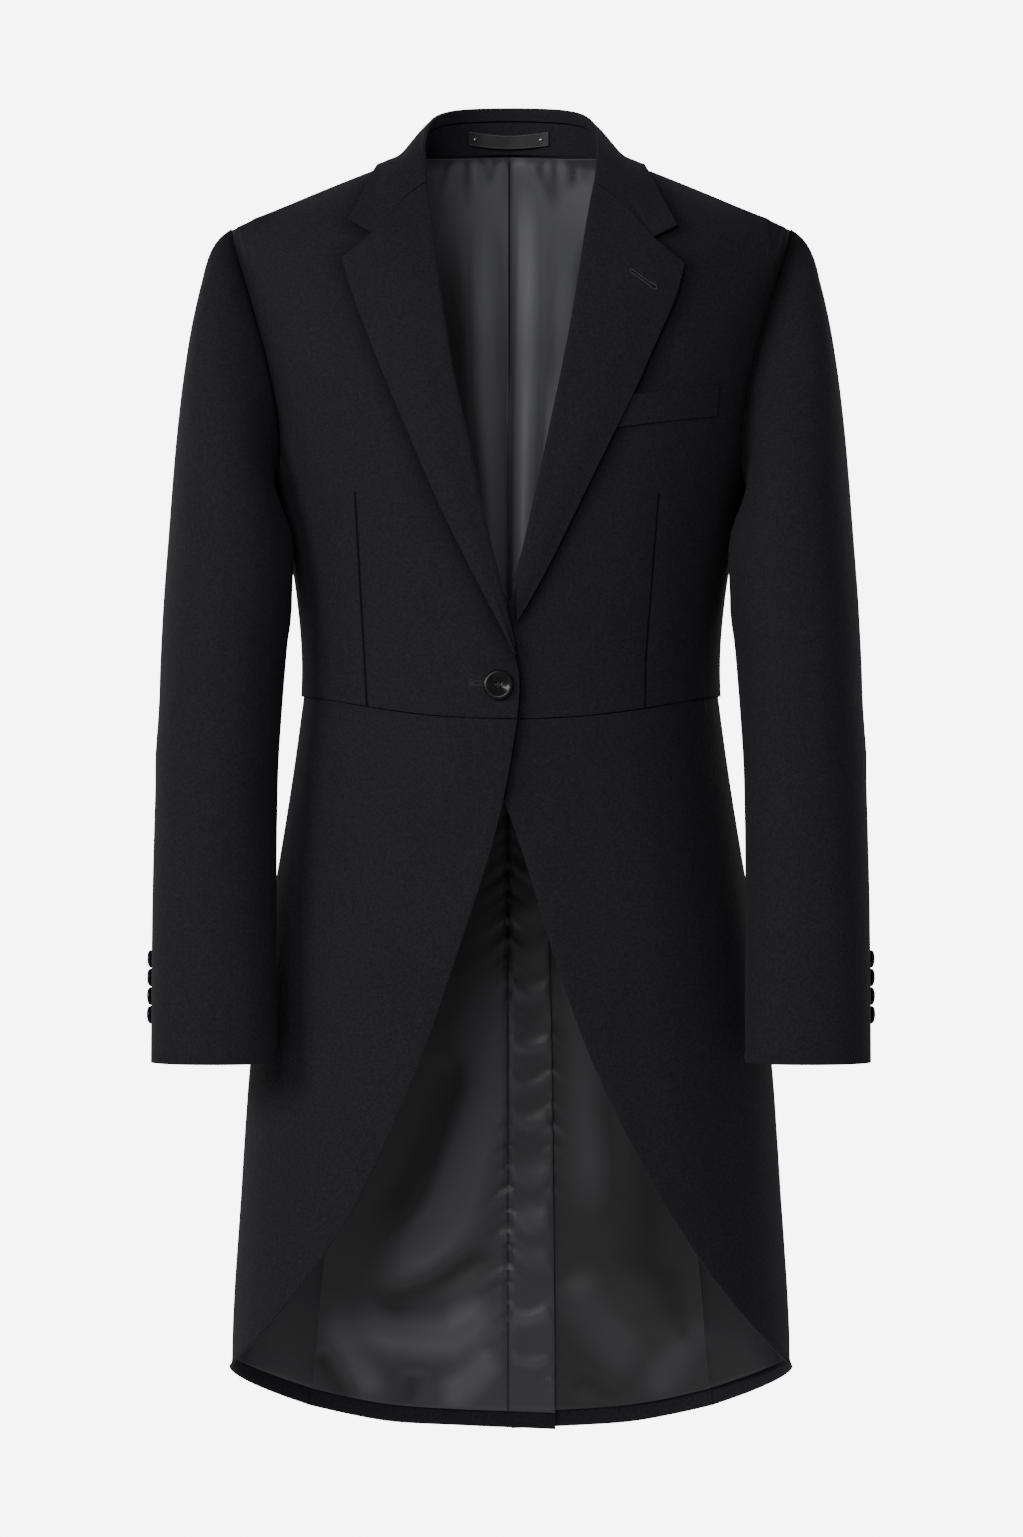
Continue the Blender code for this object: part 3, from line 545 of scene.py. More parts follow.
@dataclass(frozen=True)
class Paper:
    """Pale ground of the studio, clear at its rim."""

    radius: float
    glow: float = 3.0
    colour: Colour = (0.93, 0.93, 0.93)

    def material(self, name: str) -> bpy.types.Material:
        """Material of the ground.

        Args:
            name: the material's name.

        Returns:
            The material.
        """
        shader = Shader(name)
        x, y, _ = shader.place()
        reach = (x * x + y * y).power(0.5) / self.radius
        tone = shader.noise(3, 2)
        seen = Value(shader, shader.node("ShaderNodeLightPath").outputs["Is Camera Ray"])
        shader.set(
            Base_Color=shader.mix(tone, self.colour, (0.95, 0.95, 0.95)),
            Roughness=0.9,
            Specular_IOR_Level=0.1,
            Alpha=((1.0 - reach) * 1.8).most(0.0).least(1.0),
            Emission_Color=shader.mix(seen, (0.0, 0.0, 0.0), (1.0, 1.0, 1.0)),
            Emission_Strength=self.glow,
        )
        return shader.material


# Meshes


def add_object(name: str, data: bpy.types.ID) -> bpy.types.Object:
    """Put a new object into the scene.

    Args:
        name: its name.
        data: its mesh, curve, camera or light.

    Returns:
        The object.
    """
    made = bpy.data.objects.new(name, data)
    bpy.context.scene.collection.objects.link(made)
    return made


def smooth(value: np.ndarray) -> np.ndarray:
    """Ease from 0 to 1 as the value goes from 0 to 1."""
    share = np.clip(value, 0.0, 1.0)
    return share * share * (3 - 2 * share)


def bell(value: np.ndarray) -> np.ndarray:
    """Soft hump that is 1 at 0 and has faded at 2."""
    return np.exp(-value**2)


@dataclass(frozen=True)
class Fold:
    """A soft ridge or trough along a line over a piece, as x and height in millimetres."""

    line: tuple[tuple[float, float], ...]
    width: float
    depth: float

    def height(self, x: np.ndarray, z: np.ndarray) -> np.ndarray:
        """How far the cloth rises.

        Args:
            x: x of each point in metres.
            z: height of each point in metres.

        Returns:
            The rise of each point in metres.
        """
        lengths = [math.dist(a, b) for a, b in zip(self.line, self.line[1:])]
        total = sum(lengths)
        best = np.full(x.shape, np.inf)
        share = np.zeros(x.shape)
        before = 0.0
        for (ax, az), (bx, bz), length in zip(self.line, self.line[1:], lengths):
            run = ((x / MM - ax) * (bx - ax) + (z / MM - az) * (bz - az)) / length**2
            run = np.clip(run, 0, 1)
            off = np.hypot(x / MM - ax - run * (bx - ax), z / MM - az - run * (bz - az))
            near = off < best
            best = np.where(near, off, best)
            share = np.where(near, (before + run * length) / total, share)
            before += length
        fade = smooth(share * 4) * smooth((1 - share) * 4)
        return self.depth * MM * bell(best / self.width) * (0.15 + 0.85 * fade)


Relief = Callable[[np.ndarray, np.ndarray, np.ndarray], np.ndarray]


TORSO_HALF_WIDTH = 0.20
TORSO_HALF_DEPTH = 0.125
SLEEVE_X = ((0.2, 0.3, 0.42, 0.711), (0.214, 0.2218, 0.2275, 0.2307))
SLEEVE_Y = ((0.2, 0.3, 0.42, 0.6, 0.711), (-0.03, -0.048, -0.06, -0.079, -0.095))


def front_of_torso(x: np.ndarray, y: np.ndarray, z: np.ndarray) -> np.ndarray:
    """Unit direction out of the coat's body at each point."""
    away = np.stack([x / TORSO_HALF_WIDTH**2, y / TORSO_HALF_DEPTH**2, np.zeros_like(z)], axis=-1)
    return away / np.maximum(np.linalg.norm(away, axis=-1, keepdims=True), 1e-9)


def out_of_sleeve(x: np.ndarray, y: np.ndarray, z: np.ndarray) -> np.ndarray:
    """Unit direction out of the nearer sleeve at each point."""
    middle_x = np.sign(x) * np.interp(-z, *SLEEVE_X)
    middle_y = np.interp(-z, *SLEEVE_Y)
    away = np.stack([x - middle_x, y - middle_y, np.zeros_like(z)], axis=-1)
    return away / np.maximum(np.linalg.norm(away, axis=-1, keepdims=True), 1e-9)


class Armholes:
    """Places of the sleeves' seams, where the panels lie still."""

    reach = 6 * MM
    still = 5 * MM
    blend = 34 * MM

    def __init__(self) -> None:
        """Find the sleeves' points that touch a panel."""
        sleeves = self.points("sleeve")
        kinds = ("forepart", "side_body", "back_r", "back_left")
        panels = np.concatenate([self.points(kind) for kind in kinds])
        gaps = [np.min(np.linalg.norm(panels - p, axis=1)) for p in sleeves]
        self.seam = sleeves[np.array(gaps) < self.reach]

    @staticmethod
    def points(kind: str) -> np.ndarray:
        """All points of the nodes of one kind."""
        meshes = [node.data for name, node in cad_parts.items() if name.startswith(kind)]
        return np.array([tuple(v.co) for mesh in meshes for v in mesh.vertices])

    def away(self, x: np.ndarray, y: np.ndarray, z: np.ndarray) -> np.ndarray:
        """Share of the relief that stays at each point.

        Args:
            x: x of each point.
            y: y of each point.
            z: height of each point.

        Returns:
            0 at a sleeve's seam and 1 away from it.
        """
        place = np.stack([x, y, z], axis=-1)
        near = np.array([np.min(np.linalg.norm(self.seam - p, axis=1)) for p in place])
        return smooth((near - self.still) / self.blend)


class Neighbours:
    """Surfaces of all cloth nodes but one, to find which rims are sewn."""

    kinds = ("forepart", "side", "skirt", "back", "lapel", "collar", "sleeve")

    @classmethod
    def of(cls, node: str) -> BVHTree:
        """Search tree of the shell, lining and collar nodes round a node.

        Args:
            node: the node that is left out.

        Returns:
            The tree.
        """
        return cls.tree([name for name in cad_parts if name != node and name.startswith(cls.kinds)])

    @staticmethod
    def tree(names: Sequence[str]) -> BVHTree:
        """Search tree of some nodes.

        Args:
            names: the nodes.

        Returns:
            The tree.
        """
        places: list[Vector] = []
        faces: list[tuple[int, ...]] = []
        for name in names:
            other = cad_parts[name]
            first = len(places)
            places.extend(v.co.copy() for v in other.data.vertices)
            faces.extend(tuple(first + k for k in face.vertices) for face in other.data.polygons)
        return BVHTree.FromPolygons(places, faces)


@dataclass
class Cloth:
    """A cloth piece that stands for a CAD node: its grid made finer, with folds, grain and rounded edges."""

    GRAIN = "grain"
    RISE = "rise"
    # Attribute of the painted shade that pieces lying over a piece cast on it.
    NEAR = "near"
    TIP = (0.2235, 0.0, -0.0515)
    TIP_PASSES = 3
    LEVEL_RISE = 0.4
    FACING = 0.8
    OWN_DIRECTION = 0.9
    AHEAD = 0.5
    TAPER = 1.25
    LEAST_WIDTH = 0.02

    node: str
    slot: Slot
    finish: bpy.types.Material
    # Darker finish of painted shade for rims beside a neighbour.
    seam_finish: bpy.types.Material
    levels: int = 2
    edge: float = 0.5 * MM
    outward: Callable[[np.ndarray, np.ndarray, np.ndarray], np.ndarray] = front_of_torso
    relief: Relief | None = None
    girth: float = 0.165
    meet: float = 0.56
    gap: float = 2.6 * MM
    lap: float = 0.0
    tuck: float = 0.0
    rim_height: float = 2.0 * MM
    # Reach at which rims take painted shade.
    seam_reach: float = 0.8 * MM
    full_rise: float = 6.0 * MM
    tip_reach: float = 0.0
    side_of_front: float = -60 * MM
    shade_from: tuple[str, ...] = ()
    shade_reach: float = 5.0 * MM
    piece: bpy.types.Object | None = field(default=None, init=False)

    def build(self) -> bpy.types.Object:
        """Make the piece in place of its node.

        Returns:
            The finished object.
        """
        fine = self.refine()
        self.round_edges(fine)
        self.shade(fine)
        self.press(fine)
        bmesh.ops.triangulate(fine, faces=[f for f in fine.faces if len(f.verts) > 4])
        mesh = bpy.data.meshes.new(f"{self.node}_cloth")
        fine.to_mesh(mesh)
        fine.free()
        mesh.shade_smooth()
        mesh.set_sharp_from_angle(angle=SHARP_ANGLE)
        mesh.materials.append(self.finish)
        mesh.materials.append(self.seam_finish)
        self.lay_grain(mesh)
        self.piece = add_object(f"{self.node}_cloth", mesh)
        self.declare()
        return self.piece

    def refine(self) -> bmesh.types.BMesh:
        """Finer copy of the node's mesh, with its rims kept sharp.

        Returns:
            The mesh data.
        """
        grid = bmesh.new()
        grid.from_mesh(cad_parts[self.node].data)
        bmesh.ops.remove_doubles(grid, verts=grid.verts, dist=MERGE)
        bmesh.ops.join_triangles(grid, faces=grid.faces, angle_face_threshold=JOIN_FACE_ANGLE,
                                 angle_shape_threshold=JOIN_SHAPE_ANGLE, topology_influence=4.0)
        crease = grid.edges.layers.float.new("crease_edge")
        for edge in grid.edges:
            if edge.is_manifold and edge.calc_face_angle() > RIM_ANGLE:
                edge[crease] = 1.0
        self.meet_neighbours(grid, crease)
        self.ease_tip(grid, crease)
        mesh = bpy.data.meshes.new("coarse")
        grid.to_mesh(mesh)
        grid.free()
        holder = add_object("coarse", mesh)
        finer = holder.modifiers.new("finer", "SUBSURF")
        finer.levels = self.levels
        finer.render_levels = self.levels
        finer.boundary_smooth = "PRESERVE_CORNERS"
        seen = holder.evaluated_get(bpy.context.evaluated_depsgraph_get())
        fine = bmesh.new()
        fine.from_mesh(seen.to_mesh())
        seen.to_mesh_clear()
        bpy.data.objects.remove(holder)
        bpy.data.meshes.remove(mesh)
        return fine

    def meet_neighbours(self, grid: bmesh.types.BMesh, crease: bmesh.types.BMLayerItem) -> None:
        """Let the rims out by half of each seam's gap, so that neighbours touch as sewn cloth does.

        Args:
            grid: the coarse mesh.
            crease: its layer of rim edges.
        """
        rims = [f for f in grid.faces if sum(e[crease] for e in f.edges) >= 2
                and min(e.calc_length() for e in f.edges) < self.rim_height]
        moves = {}
        for face in rims:
            face.normal_update()
            for vert in face.verts:
                known = moves.setdefault(vert, [])
                if all(face.normal.dot(other) < self.OWN_DIRECTION for other in known):
                    known.append(face.normal.copy())
        around = Neighbours.of(self.node)
        panels = Neighbours.tree(self.shade_from) if self.lap > 0 else None
        for vert, normals in moves.items():
            ahead = vert.co.y < self.side_of_front
            free = [normal for normal in normals if not (ahead and abs(normal.z) > self.FACING)]
            step = self.across(around, vert.co, free) * self.meet
            if panels and vert.co.y > 0:
                step += self.across(panels, vert.co, free) * self.lap
            for normal in free:
                if normal.z > self.FACING:
                    step += normal * self.tuck
            vert.co += step

    def across(self, others: BVHTree, place: Vector, normals: Sequence[Vector]) -> Vector:
        """Step along a rim's normals to the nearest point of other pieces.

        Args:
            others: the other pieces.
            place: the rim's point.
            normals: the rim's normals there.

        Returns:
            The step, which is none where no piece lies ahead of the rim.
        """
        found = others.find_nearest(place, self.gap)
        step = Vector()
        if found[0] is None:
            return step
        over = found[0] - place
        for normal in normals:
            run = over.dot(normal)
            if run > self.AHEAD * over.length:
                step += normal * run
        return step

    def ease_tip(self, grid: bmesh.types.BMesh, crease: bmesh.types.BMLayerItem) -> None:
        """Even out the cloth round the shoulder's tip.

        Args:
            grid: the coarse mesh.
            crease: its layer of rim edges.
        """
        rims = {v for e in grid.edges if e[crease] for v in e.verts}
        near = [v for v in grid.verts if v not in rims
                and (Vector((abs(v.co.x), v.co.y, v.co.z)) - Vector(self.TIP)).length < self.tip_reach]
        for _ in range(self.TIP_PASSES):
            bmesh.ops.smooth_vert(grid, verts=near, factor=0.5,
                                  use_axis_x=True, use_axis_y=True, use_axis_z=True)

    def shade(self, fine: bmesh.types.BMesh) -> None:
        """Note how near each point is to the pieces that lie over this one, for the finish's painted shade.

        Args:
            fine: the mesh data.
        """
        layer = fine.verts.layers.float.new(self.NEAR)
        if not self.shade_from:
            return
        over = Neighbours.tree(self.shade_from)
        for vert in fine.verts:
            found = over.find_nearest(vert.co, 5 * self.shade_reach)
            if found[0] is not None:
                vert[layer] = math.exp(-found[3] / self.shade_reach)

    def press(self, fine: bmesh.types.BMesh) -> None:
        """Move both faces of the piece by its relief, and note the relief for the finish.

        Args:
            fine: the mesh data.
        """
        layer = fine.verts.layers.float.new(self.RISE)
        if self.relief is None:
            for vert in fine.verts:
                vert[layer] = self.LEVEL_RISE
            return
        place = np.array([v.co for v in fine.verts])
        x, y, z = place.T
        rise = self.relief(x, y, z)
        moved = place + self.outward(x, y, z) * rise[:, None]
        for vert, to, amount in zip(fine.verts, moved, rise):
            vert.co = to
            vert[layer] = min(1.0, abs(float(amount)) / self.full_rise)

    def round_edges(self, fine: bmesh.types.BMesh) -> None:
        """Round the rims as turned edges are, and give the ones near a neighbour the darker finish of painted
        shade.

        Args:
            fine: the mesh data.
        """
        fine.normal_update()
        rims = [e for e in fine.edges if e.is_manifold and e.calc_face_angle() > RIM_ANGLE]
        made = bmesh.ops.bevel(fine, geom=rims, offset=self.edge, offset_type="OFFSET", segments=2,
                               profile=0.5, affect="EDGES", clamp_overlap=True)
        new = set(made["verts"])
        faces = {f for v in new for f in v.link_faces if all(other in new for other in f.verts)}
        around = Neighbours.of(self.node)
        for face in faces:
            found = around.find_nearest(face.calc_center_median(), self.seam_reach)
            if found[0] is not None:
                # Painted shade on a rim beside a neighbour.
                face.material_index = 1

    def lay_grain(self, mesh: bpy.types.Mesh) -> None:
        """Give the mesh its cloth coordinates in metres: round the form, and up it.

        Args:
            mesh: the piece's mesh.
        """
        place = np.zeros(len(mesh.vertices) * 3)
        mesh.vertices.foreach_get("co", place)
        x, y, z = place.reshape(-1, 3).T
        away = self.outward(x, y, z)
        turn = np.arctan2(away[:, 0], -away[:, 1])
        middle = math.atan2(float(np.mean(np.sin(turn))), float(np.mean(np.cos(turn))))
        turn = (turn - middle + np.pi) % (2 * np.pi) + middle - np.pi
        across = turn * self.girth
        which = np.zeros(len(mesh.loops), dtype=int)
        mesh.loops.foreach_get("vertex_index", which)
        layer = mesh.uv_layers.new(name=self.GRAIN)
        layer.data.foreach_set("uv", np.stack([across[which], z[which]], axis=-1).ravel())

    def declare(self) -> None:
        """Attach the piece to the body, hide its node and log its cut, measured off its own surface."""
        mesh = self.piece.data
        place = np.zeros(len(mesh.vertices) * 3)
        mesh.vertices.foreach_get("co", place)
        size = np.ptp(place.reshape(-1, 3), axis=0)
        area = sum(face.area for face in mesh.polygons) / 2
        length = max(float(size[2]), float(size[0]))
        width = max(area / length * self.TAPER, self.LEAST_WIDTH)
        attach(self.piece, BODY)
        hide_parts(self.node)
        LOG.info("%s: %d faces, cut %.3f by %.3f m, %.4f m2", self.piece.name, len(mesh.polygons),
                 width, length, area)


class Surface:
    """Finds points on a piece from the front."""

    def __init__(self, piece: bpy.types.Object) -> None:
        """Prepare a piece.

        Args:
            piece: the object to find points on.
        """
        mesh = piece.data
        faces = [tuple(face.vertices) for face in mesh.polygons]
        self.tree = BVHTree.FromPolygons([v.co for v in mesh.vertices], faces)

    def at(self, x: float, z: float) -> tuple[Vector, Vector]:
        """Nearest point to the viewer at an x and a height.

        Args:
            x: x in metres.
            z: height in metres.

        Returns:
            The point and the surface's normal towards the viewer.
        """
        point, normal, _, _ = self.tree.ray_cast(Vector((x, -1.0, z)), Vector((0, 1, 0)))
        if point is None:
            point, normal, _, _ = self.tree.find_nearest(Vector((x, 0, z)))
        return point, normal if normal.y < 0 else -normal

    def line(self, points: Sequence[tuple[float, float]], lift: float) -> list[Vector]:
        """Points over the piece along a line.

        Args:
            points: x and height of each point in metres.
            lift: distance off the surface.

        Returns:
            The points in space.
        """
        found = [self.at(x, z) for x, z in points]
        return [point + normal * lift for point, normal in found]


def smooth_copy(node: str, finish: bpy.types.Material, sharp: float = 35.0) -> None:
    """Put a smoothly shaded copy of a small hard piece in its place.

    Args:
        node: the CAD node that the copy stands for.
        finish: its material.
        sharp: angle from which an edge stays sharp.
    """
    grid = bmesh.new()
    grid.from_mesh(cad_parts[node].data)
    bmesh.ops.remove_doubles(grid, verts=grid.verts, dist=MERGE)
    mesh = bpy.data.meshes.new(f"{node}_finished")
    grid.to_mesh(mesh)
    grid.free()
    mesh.shade_smooth()
    mesh.set_sharp_from_angle(angle=math.radians(sharp))
    mesh.materials.append(finish)
    made = add_object(f"{node}_finished", mesh)
    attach(made, BODY)
    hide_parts(node)


@dataclass
class StitchRun:
    """A row of stitches along a path, made with Geometry Nodes."""

    name: str
    path: list[Vector]
    finish: bpy.types.Material
    slot: Slot
    pitch: float = 2.4 * MM
    length: float = 1.7 * MM
    thickness: float = 0.35 * MM
    lay: Lay = Lay.ALONG
    facing: Point = (0.0, -1.0, 0.0)
    closed: bool = False
    wander: float = 4.0
    seed: int = 7

    def tree(self) -> tuple[bpy.types.NodeTree, dict[str, str]]:
        """Node tree that lays the stitches.

        Returns:
            The tree, and the identifier of each named input.
        """
        group = bpy.data.node_groups.new(f"{self.name}_nodes", "GeometryNodeTree")
        interface = group.interface
        interface.new_socket("Geometry", in_out="INPUT", socket_type="NodeSocketGeometry")
        interface.new_socket("Geometry", in_out="OUTPUT", socket_type="NodeSocketGeometry")
        ids = {}
        kinds = {name: "Float" for name in ("Pitch", "Length", "Thickness", "Across", "Wander")}
        for name, kind in (kinds | {"Facing": "Vector", "Seed": "Int"}).items():
            socket = interface.new_socket(name, in_out="INPUT", socket_type=f"NodeSocket{kind}")
            ids[name] = socket.identifier
        start = add_node(group, "NodeGroupInput").outputs
        even = add_node(group, "GeometryNodeResampleCurve", {"mode": "LENGTH"},
                        {"Curve": start["Geometry"], "Length": start["Pitch"]})
        tangent = add_node(group, "GeometryNodeInputTangent").outputs[0]
        sideways = add_node(group, "ShaderNodeVectorMath", {"operation": "CROSS_PRODUCT"},
                            {0: tangent, 1: start["Facing"]})
        chosen = add_node(group, "ShaderNodeMix", {"data_type": "VECTOR"},
                          {0: start["Across"], 4: tangent, 5: sideways.outputs[0]})
        aligned = add_node(group, "FunctionNodeAlignRotationToVector", {"axis": "X"},
                           {"Vector": chosen.outputs[1]})
        chance = add_node(group, "FunctionNodeRandomValue", {"data_type": "FLOAT"}, {"Seed": start["Seed"]})
        spread = add_node(group, "ShaderNodeMath", {"operation": "SUBTRACT"}, {0: chance.outputs[1], 1: 0.5})
        angle = add_node(group, "ShaderNodeMath", {"operation": "MULTIPLY"},
                         {0: spread.outputs[0], 1: start["Wander"]})
        turn = add_node(group, "FunctionNodeAxisAngleToRotation", None,
                        {"Axis": start["Facing"], "Angle": angle.outputs[0]})
        both = add_node(group, "FunctionNodeRotateRotation", None,
                        {0: aligned.outputs[0], 1: turn.outputs[0]})
        bead = add_node(group, "GeometryNodeMeshUVSphere", None, {"Segments": 6, "Rings": 5, "Radius": 0.5})
        sizes = add_node(group, "ShaderNodeCombineXYZ", None,
                         {0: start["Length"], 1: start["Thickness"], 2: start["Thickness"]})
        laid = add_node(group, "GeometryNodeInstanceOnPoints", None,
                        {"Points": even.outputs[0], "Instance": bead.outputs["Mesh"],
                         "Rotation": both.outputs[0], "Scale": sizes.outputs[0]})
        real = add_node(group, "GeometryNodeRealizeInstances", None, {0: laid.outputs[0]})
        dressed = add_node(group, "GeometryNodeSetMaterial", None,
                           {"Material": self.finish, 0: real.outputs[0]})
        add_node(group, "NodeGroupOutput", None, {0: dressed.outputs[0]})
        return group, ids

    def build(self) -> bpy.types.Object:
        """Make the row as a plain mesh.

        Returns:
            The stitches' object.
        """
        curve = bpy.data.curves.new(f"{self.name}_path", "CURVE")
        curve.dimensions = "3D"
        spline = curve.splines.new("POLY")
        spline.points.add(len(self.path) - 1)
        for point, place in zip(spline.points, self.path):
            point.co = (*place, 1.0)
        spline.use_cyclic_u = self.closed
        holder = add_object(f"{self.name}_path", curve)
        group, ids = self.tree()
        modifier = holder.modifiers.new("stitches", "NODES")
        modifier.node_group = group
        modifier[ids["Pitch"]] = self.pitch
        modifier[ids["Length"]] = self.length
        modifier[ids["Thickness"]] = self.thickness
        modifier[ids["Across"]] = self.lay.value
        modifier[ids["Wander"]] = math.radians(self.wander)
        modifier[ids["Facing"]] = self.facing
        modifier[ids["Seed"]] = self.seed
        graph = bpy.context.evaluated_depsgraph_get()
        mesh = bpy.data.meshes.new_from_object(holder.evaluated_get(graph), depsgraph=graph)
        holder.modifiers.remove(modifier)
        bpy.data.objects.remove(holder)
        mesh.name = self.name
        mesh.shade_smooth()
        made = add_object(self.name, mesh)
        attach(made, BODY)
        LOG.info("%s: %d faces", made.name, len(mesh.polygons))
        return made


# The coat


@dataclass
class Finishes:
    """All materials of the coat, made once."""

    wool: bpy.types.Material
    wool_front: bpy.types.Material
    wool_deep: bpy.types.Material
    satin_deep: bpy.types.Material
    satin: dict[Side, bpy.types.Material]
    horn: bpy.types.Material
    leather: bpy.types.Material
    steel: bpy.types.Material
    dark_thread: bpy.types.Material
    grey_thread: bpy.types.Material
    strap_thread: bpy.types.Material
    shadow: bpy.types.Material

    @classmethod
    def make(cls) -> "Finishes":
        """Build the materials."""
        darts = (
            ((-0.1210, -0.268), (-0.1172, -0.340)),
            ((-0.1172, -0.340), (-0.1119, -0.436)),
            ((0.1147, -0.270), (0.1049, -0.398)),
            ((0.1049, -0.398), (0.1044, -0.434)),
        )
        # Near-black finishes of painted shade for rims sewn to a neighbour.
        wool_seam = Wool((0.0012, 0.0012, 0.0014), (0.0018, 0.0018, 0.0021), gloss=0.03, sheen=0.0)
        satin_seam = Wool((0.005, 0.005, 0.006), (0.007, 0.007, 0.008), gloss=0.05, sheen=0.0)
        return cls(
            wool=Wool().material("wool_twill"),
            wool_front=Wool(darts=darts).material("wool_twill_front"),
            wool_deep=wool_seam.material("wool_seam"),
            satin_deep=satin_seam.material("satin_seam"),
            # Lit and shaded copies of one satin: the wearer's left lining is painted darker as shade.
            satin={
                Side.RIGHT: Satin(tail=1.0).material("satin_lining"),
                Side.LEFT: Satin(tail=0.47).material("satin_lining_shaded"),
            },
            horn=Horn().material("polished_horn"),
            leather=Leather().material("strap_leather"),
            steel=Steel().material("pin_steel"),
            dark_thread=Thread((0.060, 0.060, 0.064)).material("dark_thread"),
            grey_thread=Thread((0.100, 0.100, 0.106)).material("grey_thread"),
            strap_thread=Thread((0.20, 0.20, 0.21)).material("strap_thread"),
            # Painted shadow for the buttonholes' openings, made with the thread's shader.
            shadow=Thread((0.0012, 0.0012, 0.0013)).material("slit_shadow"),
        )


@dataclass
class Panels:
    """Foreparts, side bodies, skirts and back of the shell."""

    finishes: Finishes
    armholes: Armholes
    flank: float = 10 * MM
    blend: float = 45 * MM
    edge: float = 0.7 * MM
    shade_reach: float = 6.5 * MM
    fore_folds: tuple[Fold, ...] = (
        Fold(((-14, -440), (-30, -400), (-52, -352)), 9, 0.5),
        Fold(((-26, -424), (-60, -404), (-96, -372)), 8, -0.45),
        Fold(((28, -428), (60, -396), (84, -352)), 9, 0.45),
        Fold(((-121, -270), (-117, -340), (-112, -436)), 4.5, -0.55),
        Fold(((115, -272), (105, -398), (104.5, -434)), 4.5, -0.55),
        Fold(((-168, -250), (-150, -310), (-150, -372)), 13, 0.8),
        Fold(((166, -262), (151, -322), (152, -380)), 13, 0.8),
        Fold(((-150, -150), (-128, -196), (-112, -248)), 18, 0.7),
        Fold(((152, -120), (140, -160), (136, -176)), 16, 0.6),
    )
    skirt_folds: tuple[Fold, ...] = (
        Fold(((-104, -448), (-110, -560), (-124, -700), (-150, -860)), 22, 1.1),
        Fold(((-150, -452), (-158, -580), (-170, -760)), 16, -1.0),
        Fold(((-60, -452), (-64, -520), (-76, -600)), 16, -0.6),
        Fold(((100, -448), (108, -560), (126, -720), (154, -880)), 22, 1.1),
        Fold(((146, -452), (157, -600), (172, -790)), 16, -1.0),
        Fold(((54, -452), (60, -520), (72, -590)), 16, -0.6),
        Fold(((-196, -560), (-206, -720), (-212, -900)), 20, 0.9),
        Fold(((194, -560), (205, -740), (211, -920)), 20, 0.9),
    )
    back_folds: tuple[Fold, ...] = (
        Fold(((-120, -70), (-104, -150), (-86, -240)), 20, 1.2),
        Fold(((116, -76), (102, -160), (88, -236)), 20, 1.0),
        Fold(((-150, -120), (-138, -200), (-112, -290)), 14, -1.1),
        Fold(((150, -118), (136, -210), (114, -296)), 14, -1.2),
        Fold(((-30, -330), (-34, -400), (-40, -450)), 15, -0.7),
        Fold(((32, -336), (36, -404), (42, -452)), 15, -0.7),
        Fold(((-48, -470), (-62, -640), (-70, -860)), 20, 1.2),
        Fold(((50, -470), (60, -650), (74, -880)), 20, 1.1),
        Fold(((-92, -540), (-104, -720), (-116, -930)), 18, -1.1),
        Fold(((90, -540), (106, -740), (118, -940)), 18, -1.2),
    )

    def relief(self, x: np.ndarray, y: np.ndarray, z: np.ndarray) -> np.ndarray:
        """Rise of the shell, the same on both sides of every seam.

        Args:
            x: x of each point.
            y: y of each point.
            z: height of each point.

        Returns:
            The rise of each point.
        """
        fore = smooth((-y - self.flank) / self.blend)
        rear = smooth((y - self.flank) / self.blend)
        ahead = sum(fold.height(x, z) for fold in self.fore_folds + self.skirt_folds)
        behind = sum(fold.height(x, z) for fold in self.back_folds)
        return (ahead * fore + behind * rear) * self.armholes.away(x, y, z)

    def build(self) -> dict[str, bpy.types.Object]:
        """Make the eight panels.

        Returns:
            The pieces by node.
        """
        made = {}
        for side in Side:
            lapel, sleeve = f"lapel_{side.word}", f"sleeve_top_{side.word}"
            kinds = (
                # node, finish, levels, tuck and tip in millimetres, pieces over it that cast painted shade on
                # it
                ("forepart", self.finishes.wool_front, 3, 0.0, 42, (lapel, "collar_fall", sleeve)),
                ("side_body", self.finishes.wool, 2, 0.0, 0, ()),
                ("skirt", self.finishes.wool, 2, 0.8, 0, ()),
                ("back", self.finishes.wool, 2, 0.0, 42, (sleeve,)),
            )
            for kind, finish, levels, tuck, tip, over in kinds:
                node = f"{kind}_{side.word}"
                if side is Side.LEFT and kind in ("forepart", "skirt"):
                    over = over + ("forepart_right", "skirt_right")
                made[node] = Cloth(node, Slot.WOOL, finish, self.finishes.wool_deep, levels, self.edge,
                                   relief=self.relief, tuck=tuck * MM, tip_reach=tip * MM, shade_from=over,
                                   shade_reach=self.shade_reach).build()
        return made


